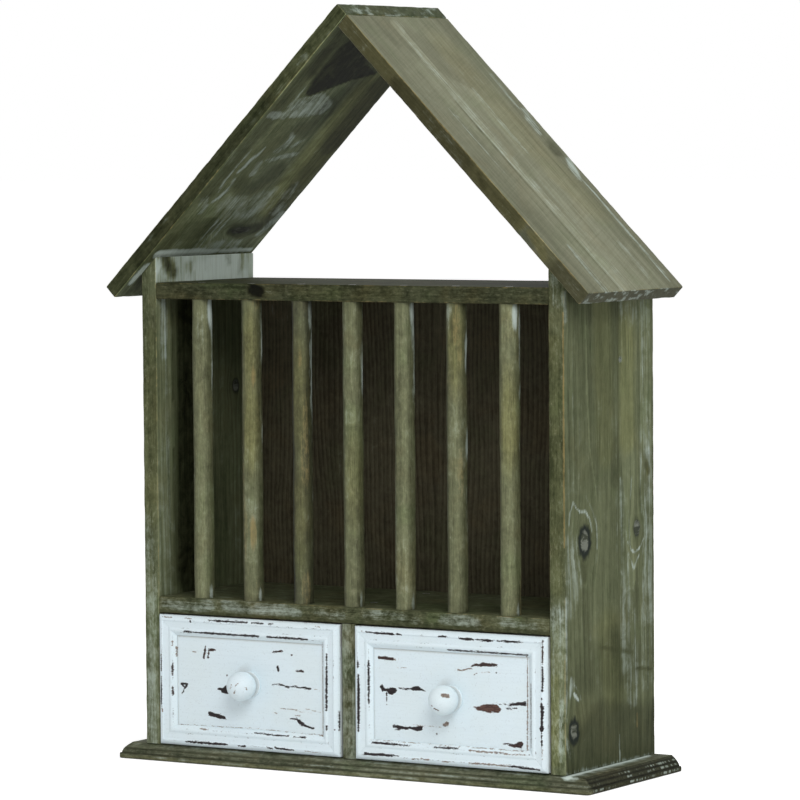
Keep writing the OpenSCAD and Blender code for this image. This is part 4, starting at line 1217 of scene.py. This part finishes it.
class BOOKSHELF_OT_rods(bpy.types.Operator):
    """Build the seven upright rods in front of the bay"""
    bl_idname = "bookshelf.rods"
    bl_label = "Rods"

    def execute(self, context):
        material = stained("Stain of the rods", UPRIGHT_SIDE, (0, 0, 0), srgb(128, 132, 98), srgb(70, 72, 48), 3.3, 7.0,
                           30.0, 24, 0.32, 0.08, 0.2, 0.3, bump=(0.5, 0.35), shine=0.3)
        places = np.array(rod_places(SHELF_TOP))
        rods = grown("front_rods", rods_tree(), places, {
            "Length": (BAY_TOP - SHELF_TOP) * MM, "Width": 20.0 * MM, "Rounding": 8.4 * MM, "Dents": 0.7 * MM,
            "Seed": 2.0, "Material": material})
        count = len(rods.data.vertices)
        points, outward = np.empty(count * 3), np.empty(count * 3)
        rods.data.vertices.foreach_get("co", points)
        rods.data.vertices.foreach_get("normal", outward)
        points, outward = points.reshape(-1, 3) / MM, outward.reshape(-1, 3)
        x, _, z = points.T
        number = np.clip(np.round((x - places[0, 0]) / (places[1, 0] - places[0, 0])), 0, len(RODS) - 1).astype(int)
        made = {"edge": np.zeros(count), **painted_on(count)}
        # Tone: each rod its own stain, with painted shade that rounds it: lighter where it faces the view and darker on
        # both flanks, most on the left
        flank = outward[:, 0] * 0.85 + outward[:, 1] * 0.52
        made["tone"] = (np.array(ROD_TONE)[number] + 0.16 * band(flank, -0.2, 0.4)
                        - 0.45 * unit((-flank - 0.62) / 0.3) - 0.22 * unit((flank - 0.25) / 0.3))
        # Darker at both ends, where they meet the shelves
        made["dark"] = 0.3 * unit(1 - (z - SHELF_TOP) / 4) + 0.4 * unit(1 - (BAY_TOP - z) / 5)
        made["mottle"] += 0.6
        # Painted highlight: a pale rim along the right flank towards the top, laid on as wash
        made["pale"] = unit((flank - 0.82) / 0.1) * unit(
            smooth_noise(points, (40, 40, 30), 21) * 0.9 + 0.25 + (z - 380) / 160)
        made["rub"] = 0.42 * unit(smooth_noise(points, (9, 9, 60), 27) * 1.8 - 0.1) * np.isin(number, (1, 2, 5, 6))
        for kind, rod, right, back, high_up, half, soft, strength in ROD_MARKS:
            spot = (*(places[int(rod) - 1, :2] + (right, back)), high_up)
            near = eased(1 - (np.linalg.norm((points - spot) / (1, 1, 5), axis=1) - half) / soft)
            made[kind] = np.maximum(made[kind], near * strength)
        write_values(rods.data, made)
        finish_piece(rods, "case", "rod_wood", *(f"rod_{k}" for k in RODS))
        return {"FINISHED"}


def plain_finish(node, material):
    """Gives a solid that keeps its shape a better finish."""
    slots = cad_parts[node].data.materials
    slots.clear()
    slots.append(material)


UP, DOWN = (math.pi, 0, 0), (0, 0, 0)
# Places of the screws in the divider and in the sides: across, then back
DIVIDER_SCREWS = [(-1.5, y) for y in (-26.25, 75.75)]
SIDE_SCREWS = [(x, y) for x in (-241, 241) for y in (-51.25, 12.25, 75.75)]


class BOOKSHELF_OT_fasteners(bpy.types.Operator):
    """Build the screws with their cross slots and finish the nails and dowels"""
    bl_idname = "bookshelf.fasteners"
    bl_label = "Screws, nails and dowels"

    def execute(self, context):
        tree = screws_tree()
        for name, points, turn, node in (
                ("base_screws", [(x, y, 0.0) for x, y in SIDE_SCREWS + DIVIDER_SCREWS], UP, "case_screws"),
                ("divider_screws", [(x, y, SHELF_TOP) for x, y in DIVIDER_SCREWS], DOWN, "case_screws"),
                ("rod_foot_screws", rod_places(low("middle_shelf")[2]), UP, "rod_screws"),
                ("rod_head_screws", rod_places(high("top_shelf")[2]), DOWN, "rod_screws")):
            screws = grown(name, tree, points, {"Turn": turn, "Material": steel()})
            finish_piece(screws, "case", "steel", node)
        for node in ("roof_nails", "ridge_nails", "back_nails", "left_drawer_nails", "right_drawer_nails",
                     "left_drawer_knob_screw", "right_drawer_knob_screw"):
            plain_finish(node, steel())
        plain_finish("shelf_dowels", raw_pine("Dowel beech", ALONG_X, (0, 0, 0), 1.2))
        return {"FINISHED"}


# ---- Drawers ----

CLEAR = 9.0  # distance from a chip, in millimetres, at which the paint is whole
CHIP_TONES = {"faint": 0.3, "dark": 1.0, "line": 1.0, "brown": 0.8, "grey": 0.9, "thin": 0.9, "beige": 0.08,
              "edge": 0.26, "tan": 0.32, "umber": 0.66}

# Chips in the paint of each front, with the thin dark lines along the moulding drawn the same way: kind: across,
# height, half width
LEFT_CHIPS = rows_of("""
faint: -225.4 149.3 .6, -213.5 149.1 .7; faint: -197.3 149.3 .6, -188.6 149.1 .6; dark: -189.9 146.1 1.4;
dark: -167.8 148.8 .4, -155.2 148.5 .9, -130.6 148.6 1, -119.6 148.7 .4; dark: -114.7 148.6 .6, -100.8 148.8 .8;
dark: -93.3 148.7 .9, -88.9 148.7 .6; faint: -37.7 148.9 .6, -32.5 148.8 .6;
line: -198.7 135.4 .8, -159.7 135.3 1, -128.9 135.2 1, -106.4 135.1 .8;
line: -96.2 135.1 .8, -74.1 135.3 1.1, -47.6 135.2 .9; dark: -226.5 110.8 .4, -226.4 101.4 .9, -226.5 93.1 .6;
dark: -226.4 87.9 .4, -226.7 73.4 1, -227.3 57.3 .7; faint: -213.2 124.9 .6, -213.2 119.7 .6;
faint: -209.9 118.2 .8, -210 109.5 .7; brown: -213.2 102.1 .4, -213.3 95.9 .9, -213.4 89.6 .6;
brown: -213.3 77.2 .7, -213.3 68.9 .8; brown: -174.8 121.3 .6, -175.4 116.5 1.2, -176.4 111.9 .8, -177.1 108.8 .9;
brown: -170.9 118 1.3, -167.3 118 1.5, -163.7 117.8 1.1; brown: -170.4 115.8 1, -171.2 112.7 .7, -171.7 109.7 1;
faint: -190.8 114.6 .6, -184.6 113.9 .4; dark: -204.9 80.7 1.1, -200.9 80.7 1.2, -198.2 80.5 1.3;
dark: -198.7 79.6 1.3, -201.2 75.7 .6, -204.3 70.4 .5; dark: -203.9 78.9 .6, -201.4 78.2 .6; brown: -148.4 92.2 .7;
dark: -161.1 77.2 .3, -154.8 77.4 2.6, -149.4 77.8 4.6, -147 77.9 5;
dark: -169.9 52 2.1, -163.7 50.7 2.3, -156.3 49.1 1.9, -150.7 48 1; faint: -180.3 35.8 .6, -170.2 35.3 .7;
grey: -197 21.6 .9, -179 21.9 1.1, -159.1 21.9 1.1, -145.1 21.9 .9; grey: -131.6 21.7 .6, -123.9 21.5 1;
faint: -226.1 54.1 1, -225.5 51.7 .9; thin: -93.4 86.3 .4, -86.1 87.1 .8, -78.8 86 .7, -73.3 85.1 .6;
dark: -76.2 85.3 1, -73 84.7 1.1; thin: -70.4 85.4 .4, -61.9 85.5 .6, -55.9 84.9 .8; dark: -64.8 86 1.1;
dark: -56.1 85.3 1, -47 84.7 1; faint: -41.9 84.2 .4, -35.4 83.4 .6; beige: -82.7 62.4 .6, -62.1 61.9 .6;
beige: -61 60.1 .4, -46.1 59.9 .4; beige: -52.5 63.7 .4, -34.9 61.3 .4; beige: -92.5 56.9 .6, -88.1 57.2 .6;
faint: -65.8 56.4 .7, -59.8 56.3 .4; dark: -71.2 51.7 .6, -63.4 52.4 1, -60.3 49.7 2.6, -55.5 47.2 1.4;
dark: -55.5 47.2 1.3, -49 45.5 1, -43.7 44.5 1.3; dark: -24.4 121.7 .6, -24.6 95.3 .9, -24.9 75 .9, -25 63.8 .6;
dark: -25 48.2 .8, -25.1 44.6 .7; edge: -30.5 132 .6, -30.9 84.3 .9, -31.3 40.6 1, -31.8 38.3 1.1;
dark: -10.9 64.2 .3, -11.1 53.7 .5, -11.1 44.2 .3; dark: -15 45.3 .7;
brown: -9.5 126 .4, -9.6 113.5 .7, -9.7 100.3 .6; faint: -10.2 148 .7; dark: -96.8 21.9 .6, -90.5 21.5 .9;
dark: -87.4 23.9 .6, -85.6 22 .8, -78.4 21.9 1.2, -70.8 21.5 1; dark: -68.9 21.5 .9, -63.8 21.4 .7;
faint: -50.8 21.1 .4, -32 20.7 .4; grey: -113.4 35.5 .4, -93.4 35.3 .7, -71.5 35.1 .6;
grey: -65.5 34.9 .4, -50.8 35.1 .6; edge: -210.4 38.5 .3, -114.7 39.7 .3, -31.8 38.3 .4;
brown: -92.8 119.8 .7, -87 120.4 1.2, -80.2 121 .8; brown: -68.8 117.8 .9;
dark: -86.4 104.4 1.4, -85.7 101.5 1.2, -85.5 99.5 .4; brown: -63.7 101.9 .9, -55.7 101.8 1
""")
RIGHT_CHIPS = rows_of("""
faint: 17.6 147.3 .7, 19.9 146.2 .4; dark: 23.5 146.6 .4, 34.1 146.3 1, 45.9 146.1 1.2, 55.5 146.1 1;
dark: 59.3 146.5 .8, 64.4 146.1 .7; dark: 108.4 146.1 .9, 112.4 147 .8, 116.5 146.5 .9;
line: 118 133.5 .7, 132.5 133.3 .8, 172.7 133.2 .8, 208.6 133.1 .7; dark: 13.2 117 .6, 13.2 113.7 .9, 13.2 110.1 .6;
dark: 13.6 103.1 .7, 13.7 87.5 1.3, 13.5 65.3 1.3, 13.4 53.2 1.1, 13.3 45.5 .7;
dark: 25.2 117.9 .6, 25.2 103.2 .9, 25.1 74.8 .6; brown: 35.2 120.8 1.2, 43.4 120.3 1.7, 51.2 120.3 1.4;
faint: 51.6 120.1 1.3, 55.2 119.9 .7; faint: 57.4 112 .6; faint: 61 112.2 .4, 67.3 112.5 .4; faint: 58.2 120.3 .7;
dark: 38 92 1.9, 39.4 89 2.4, 44.1 89.1 1.4, 47.8 88.5 2.3, 51.8 88.6 2.6, 54.4 89.7 1.1;
dark: 48.5 86.6 2.4, 50.2 85 1.4; thin: 43.8 86.7 .7, 43.8 81.6 .4, 44.2 74.2 .3; thin: 59 91.2 .6, 66.6 91.1 .6;
dark: 66.6 91 .9, 72.5 91.5 1.4, 77.2 92.5 2, 81.9 92.1 1.4; thin: 81.9 92.1 1.3, 85.9 91 1, 89.5 90.2 .6;
dark: 51.5 52.3 1.4, 58.1 51.7 1.7, 64 51.9 1, 71 51.9 1.5, 83.9 51.5 1.9; beige: 74.5 55.6 .4, 107.2 55.4 .4;
tan: 110.2 57.6 1.4, 114.2 59.1 2.1; brown: 102.2 48.1 .9; grey: 28.7 35.2 .8, 43.1 35.2 1, 57.3 35 .9, 74.1 35 .4;
grey: 101.4 35.3 .6, 113.3 35.4 .8, 128.8 35.6 .6; dark: 20.4 23.7 1.1, 34.2 23.7 1.3, 50.7 23.8 1, 60.5 23.7 .4;
tan: 76.5 21.8 .6, 85.8 22.6 .4, 95.8 22.5 .4; tan: 111.4 22 .4, 120.7 22 .4;
dark: 132 145.9 .9, 140.1 145.7 1.3, 147.9 145.6 .9;
dark: 150.4 145.6 .4, 158.4 145.4 1, 165.3 145.2 1.2, 170.1 145.3 .7;
dark: 175.8 145.5 .7, 188.1 145.6 1, 204.4 145.9 .6;
brown: 144 118.5 1.3, 151.5 119.3 1.8, 158.4 120.9 1.8, 171.5 120.8 1.2;
tan: 127.3 113.7 .6, 131.9 113.2 .7, 136.6 114.9 .6, 143 116.2 .7; faint: 145.7 110 .8, 149.2 111.4 .6;
faint: 154.9 112.5 .4, 164.1 113.6 .4; dark: 171.2 113.2 .9; faint: 175.3 113.3 .7;
brown: 226.9 148.4 .6, 226.8 134.5 .8, 226.7 125.6 .7; dark: 226.6 122.7 .6, 226.6 109.9 .9, 226.5 101 .7;
dark: 226.1 99.4 1.3;
dark: 225.6 92.1 .3, 225.5 86.2 1.1, 225.8 78.8 2.1, 225.7 72.4 1.3, 225.3 58.6 1.4, 225.5 48.8 1, 225.7 41.5 .4;
faint: 225.9 40.9 .6, 226.1 31.1 .4; brown: 212.5 105.4 .4, 212.5 89.3 .8, 212.3 64.6 .7, 212.2 42.3 .4;
edge: 206.8 131.3 .4, 206.8 88.4 .9, 206.2 37.9 .9;
umber: 144.8 77 .4, 150.1 76.8 1.8, 157 77.1 3.3, 163.9 77.7 4, 170.7 77.9 4.1, 174.1 77.1 2.6; umber: 171.9 75.6 2.2;
dark: 185.6 81 .8, 191.3 82.5 1.1, 198.1 83.9 1.2, 202.9 84.4 2.5, 204.2 82.9 1.3;
thin: 182.6 78.2 .6, 187.8 78.4 .4, 194 79.8 .6; thin: 165 81.5 .3, 182.2 82.6 .3, 200.4 85.4 .3;
brown: 179.2 43.1 .7, 185.3 42.6 .9, 189.9 42.8 1.3, 195.6 43.2 2.1, 198.3 43.6 3.1;
tan: 142.2 34.7 .6, 154.8 34.5 .7, 168.8 34.5 .6; tan: 171.3 34.6 .6, 185.7 34.2 .6;
faint: 188.6 34.3 .6, 207.3 34.3 .4; dark: 189.1 22.4 .9, 203.2 21.8 1.1, 214.5 21.4 .9, 222.4 20.8 .6;
tan: 142.6 22.3 .6, 166.7 22.5 .6, 188.8 22.4 .6; edge: 25.7 37.7 .3, 117.5 37.5 .3, 206.2 37.6 .4
""")

# Chips in the paint of the knobs: kind: right of the middle, above the middle, half width
KNOB_CHIPS = {
    "left": rows_of("faint: 2 -3 .75, 0 -6 .75; tan: 11.5 1 .4, 12.4 -2 .5; faint: 5 5 .55, 2 1 .65;"
                    "faint: -2 3 .45, -4 -1 .75"),
    "right": rows_of("tan: 6.5 6.8 1.8, 10.4 5.8 2.2; umber: -5.6 -4 .6, 1.2 -8.6 1")}


def chipped(points, edge, dirt_and_shade, chips, uneven=0.0):
    """Values of the worn paint: the distance to the nearest chip, that chip's tone, the worn edges, and the dirt and
    painted shade.
    """
    gap, tone = np.full(len(points), CLEAR), np.zeros(len(points))
    for kind, *path in chips:
        away = distance_to_path(points, path) + (0.25 if kind in ("faint", "beige", "edge") else 0)
        if max(place[-1] for place in path) > 1.5:
            away = away + uneven
        tone = np.where(away < gap, CHIP_TONES[kind], tone)
        gap = np.minimum(away, gap)
    return {"edge": edge, "chip": gap, "chip_tone": tone, "dirt_and_shade": dirt_and_shade}


def front_values(points, edge, chips, dirt_and_shade=None):
    """Values of the worn paint on a front or its moulding."""
    uneven = 1.3 * smooth_noise(points * (1, 0, 1), (5, 9, 1.8), 31)
    return chipped(points[:, ::2], edge, np.zeros(len(points)) if dirt_and_shade is None else dirt_and_shade, chips, uneven)


MOULDING = np.array(closely(
    [(0, 0.0)] + bulged((0, 1), (5.5, 5.5), 1, 7) + [(6.3, 4.7), (12.2, 3.9)]
    + bulged((13, 3.9), (17.5, 3.9), 1, 6) + [(21, 0.8), (21, 0)], 1.0))
MOULDING_WIDE = 21
MOULDING_EDGES = ((5.2, 5.4), (12.8, 3.9), (17.5, 3.9), (0.2, 1.2))


def moulding_strip(name, corner, along, inward, long, grid, chips, material):
    """A mitred strip of moulding: its outer edge runs from corner along one way, and it lies inwards of it."""
    along, inward = np.array(along, float), np.array(inward, float)
    width, count = len(MOULDING), max(2, int(long // grid))
    depth, out = (np.tile(part, count) for part in MOULDING.T)
    run = depth + np.repeat(np.linspace(0, 1, count), width) * (long - 2 * depth)
    points = np.array(corner) + run[:, None] * along + depth[:, None] * inward - out[:, None] * np.array([0, 1, 0])
    edge = np.max([unit(1 - np.hypot(depth - at, out - height) / 1.6) for at, height in MOULDING_EDGES], axis=0)
    made = front_values(points, edge, chips)
    made["chip"] = np.where((depth < 0.5) & (out < 0.9), CLEAR, made["chip"])
    faces = skin(count, width, flip=np.cross(along, inward)[1] < 0)
    return make_mesh(name, points, faces, made, material)


KNOB_BALL, KNOB_NECK, KNOB_FOOT, KNOB_FOOT_HIGH = 15.0, 7.5, 13.5, 2.5


def turned_knob(name, centre, reach, chips, material):
    """A ball on a short neck and a round foot, turned on a lathe."""
    middle = reach - KNOB_BALL
    start = math.asin((KNOB_NECK + 0.6) / KNOB_BALL)
    profile = [(KNOB_FOOT - 0.5, 0.0), (KNOB_FOOT, 0.5), (KNOB_FOOT - 0.1, 1.4), (KNOB_FOOT - 0.7, 2.2),
               (KNOB_FOOT - 1.6, KNOB_FOOT_HIGH), (11.0, 2.5), (9.4, 2.5), (8.2, 2.7), (KNOB_NECK + 0.1, 3.1)]
    profile += [(KNOB_BALL * math.sin(a), middle - KNOB_BALL * math.cos(a))
                for a in np.linspace(start, math.pi, 30)[:-1]]
    around = 72
    turn = np.arange(around) * 2 * math.pi / around
    rows = [as_places(radius * np.cos(turn), turn * 0 - out, radius * np.sin(turn)) for radius, out in profile]
    points = np.array(centre) + np.concatenate(rows + [[(0, -reach, 0)]])
    faces = skin(len(profile), around)
    tip, last = len(points) - 1, len(points) - 1 - around
    faces[1:2] = [(last + k, last + (k + 1) % around, tip) for k in range(around)]
    on_ball = [(kind, *((centre[0] + x, centre[1] - math.sqrt(KNOB_BALL ** 2 - x * x - z * z) - middle,
                         centre[2] + z, half) for x, z, half in path)) for kind, *path in chips]
    out = centre[1] - points[:, 1]
    # Painted shade darkens the foot and the neck under the ball
    made = chipped(points, band(out, KNOB_FOOT_HIGH, 1.2) * 0.8, 0.5 * unit(1 - (out - 2) / 5) * (out > 1.5), on_ball)
    return make_mesh(name, points, faces, made, material)


class BOOKSHELF_OT_drawers(bpy.types.Operator):
    """Build both drawers: painted fronts with moulding and knobs, and boxes of raw pine"""
    bl_idname = "bookshelf.drawers"
    bl_label = "Drawers"

    def execute(self, context):
        grid = round(context.scene.bookshelf_paint.grid / MM, 3)
        coat, knob_coat = painted("White paint of the drawers"), painted("White paint of the knobs", 0.15)
        for side, chips in (("left", LEFT_CHIPS), ("right", RIGHT_CHIPS)):
            drawer = f"{side}_drawer"
            start, end = low(f"{drawer}_front"), high(f"{drawer}_front")
            fine = [(start[k] + 20, end[k] - 20, grid) for k in (0, 2)]
            points, faces, outward, edge = rounded_block(start, end, (0.8, 0.95, 0.8), 4, (fine[0], None, fine[1]))
            # Painted shadow of the knob as a ring on its left, and dirt along the moulding
            x, _, z = (points - (start + end) / 2).T
            half = (end - start) / 2 - MOULDING_WIDE
            beside = band(np.hypot(x - 3, z), 15, 9) * unit((4 - x) / 14)
            border = np.maximum(unit(1 - (half[2] - z) / 2.5), 0.6 * unit(1 - (half[0] - np.abs(x)) / 2))
            made = front_values(points, edge, chips, np.maximum(0.6 * beside, 0.8 * border))
            made["chip"] = np.where(outward[:, 1] < -0.5, made["chip"], CLEAR)
            finish_piece(make_mesh(f"{side}_front_panel", points, faces, made, coat), drawer, "white_paint",
                         f"{drawer}_front")
            (left, front, bottom), (right, _, top) = start, end
            for name, corner, along, inward, long in (
                    ("bottom", (left, front, bottom), (1, 0, 0), (0, 0, 1), right - left),
                    ("right", (right, front, bottom), (0, 0, 1), (-1, 0, 0), top - bottom),
                    ("top", (right, front, top), (-1, 0, 0), (0, 0, -1), right - left),
                    ("left", (left, front, top), (0, 0, -1), (1, 0, 0), top - bottom)):
                strip = moulding_strip(f"{side}_{name}_strip", corner, along, inward, long, grid, chips, coat)
                finish_piece(strip, drawer, "white_paint", f"{drawer}_{name}_moulding")
            box_low, box_high = low(f"{drawer}_knob"), high(f"{drawer}_knob")
            middle = (box_low + box_high) / 2
            knob = turned_knob(f"{side}_knob", (middle[0], box_high[1], middle[2]), box_high[1] - box_low[1],
                               KNOB_CHIPS[side], knob_coat)
            finish_piece(knob, drawer, "white_paint", f"{drawer}_knob")
            for name, turn, seed in (("left_side", ALONG_Y, 1.1), ("right_side", ALONG_Y, 2.2),
                                     ("back", ALONG_X_UPRIGHT, 3.3), ("bottom", ALONG_X, 4.4)):
                wood = raw_pine(f"Raw pine of the {side} drawer's {name.replace('_', ' ')}", turn, middle, seed)
                board(f"{side}_box_{name}", f"{drawer}_{name}", 9, (0.5, 0.5, 0.5), wood, body=drawer, slot="raw_wood",
                      seed=seed)
        return {"FINISHED"}


STEPS = ("stage", "base", "sides", "shelves", "roof", "rods", "drawers", "fasteners")


class BOOKSHELF_PT_pieces(bpy.types.Panel):
    """Lists the pieces of the bookshelf and the settings they are built from"""
    bl_idname = "BOOKSHELF_PT_pieces"
    bl_label = "Bookshelf"
    bl_space_type = "VIEW_3D"
    bl_region_type = "UI"
    bl_category = "Bookshelf"

    def draw(self, context):
        for name in GROUPS:
            box = self.layout.box()
            for key in getattr(context.scene, name).bl_rna.properties.keys():
                if key not in ("rna_type", "name"):
                    box.prop(getattr(context.scene, name), key)
        for step in STEPS:
            self.layout.operator(f"bookshelf.{step}")


CLASSES = (*GROUPS.values(), BOOKSHELF_OT_stage, BOOKSHELF_OT_base, BOOKSHELF_OT_sides, BOOKSHELF_OT_shelves,
           BOOKSHELF_OT_roof, BOOKSHELF_OT_rods, BOOKSHELF_OT_drawers, BOOKSHELF_OT_fasteners, BOOKSHELF_PT_pieces)


def register():
    for item in CLASSES:
        bpy.utils.register_class(item)
    for name, group in GROUPS.items():
        setattr(bpy.types.Scene, name, bpy.props.PointerProperty(type=group))


def unregister():
    for name in GROUPS:
        delattr(bpy.types.Scene, name)
    for item in reversed(CLASSES):
        bpy.utils.unregister_class(item)


def main():
    register()
    for step in STEPS:
        getattr(bpy.ops.bookshelf, step)()


if __name__ == "__main__":
    main()
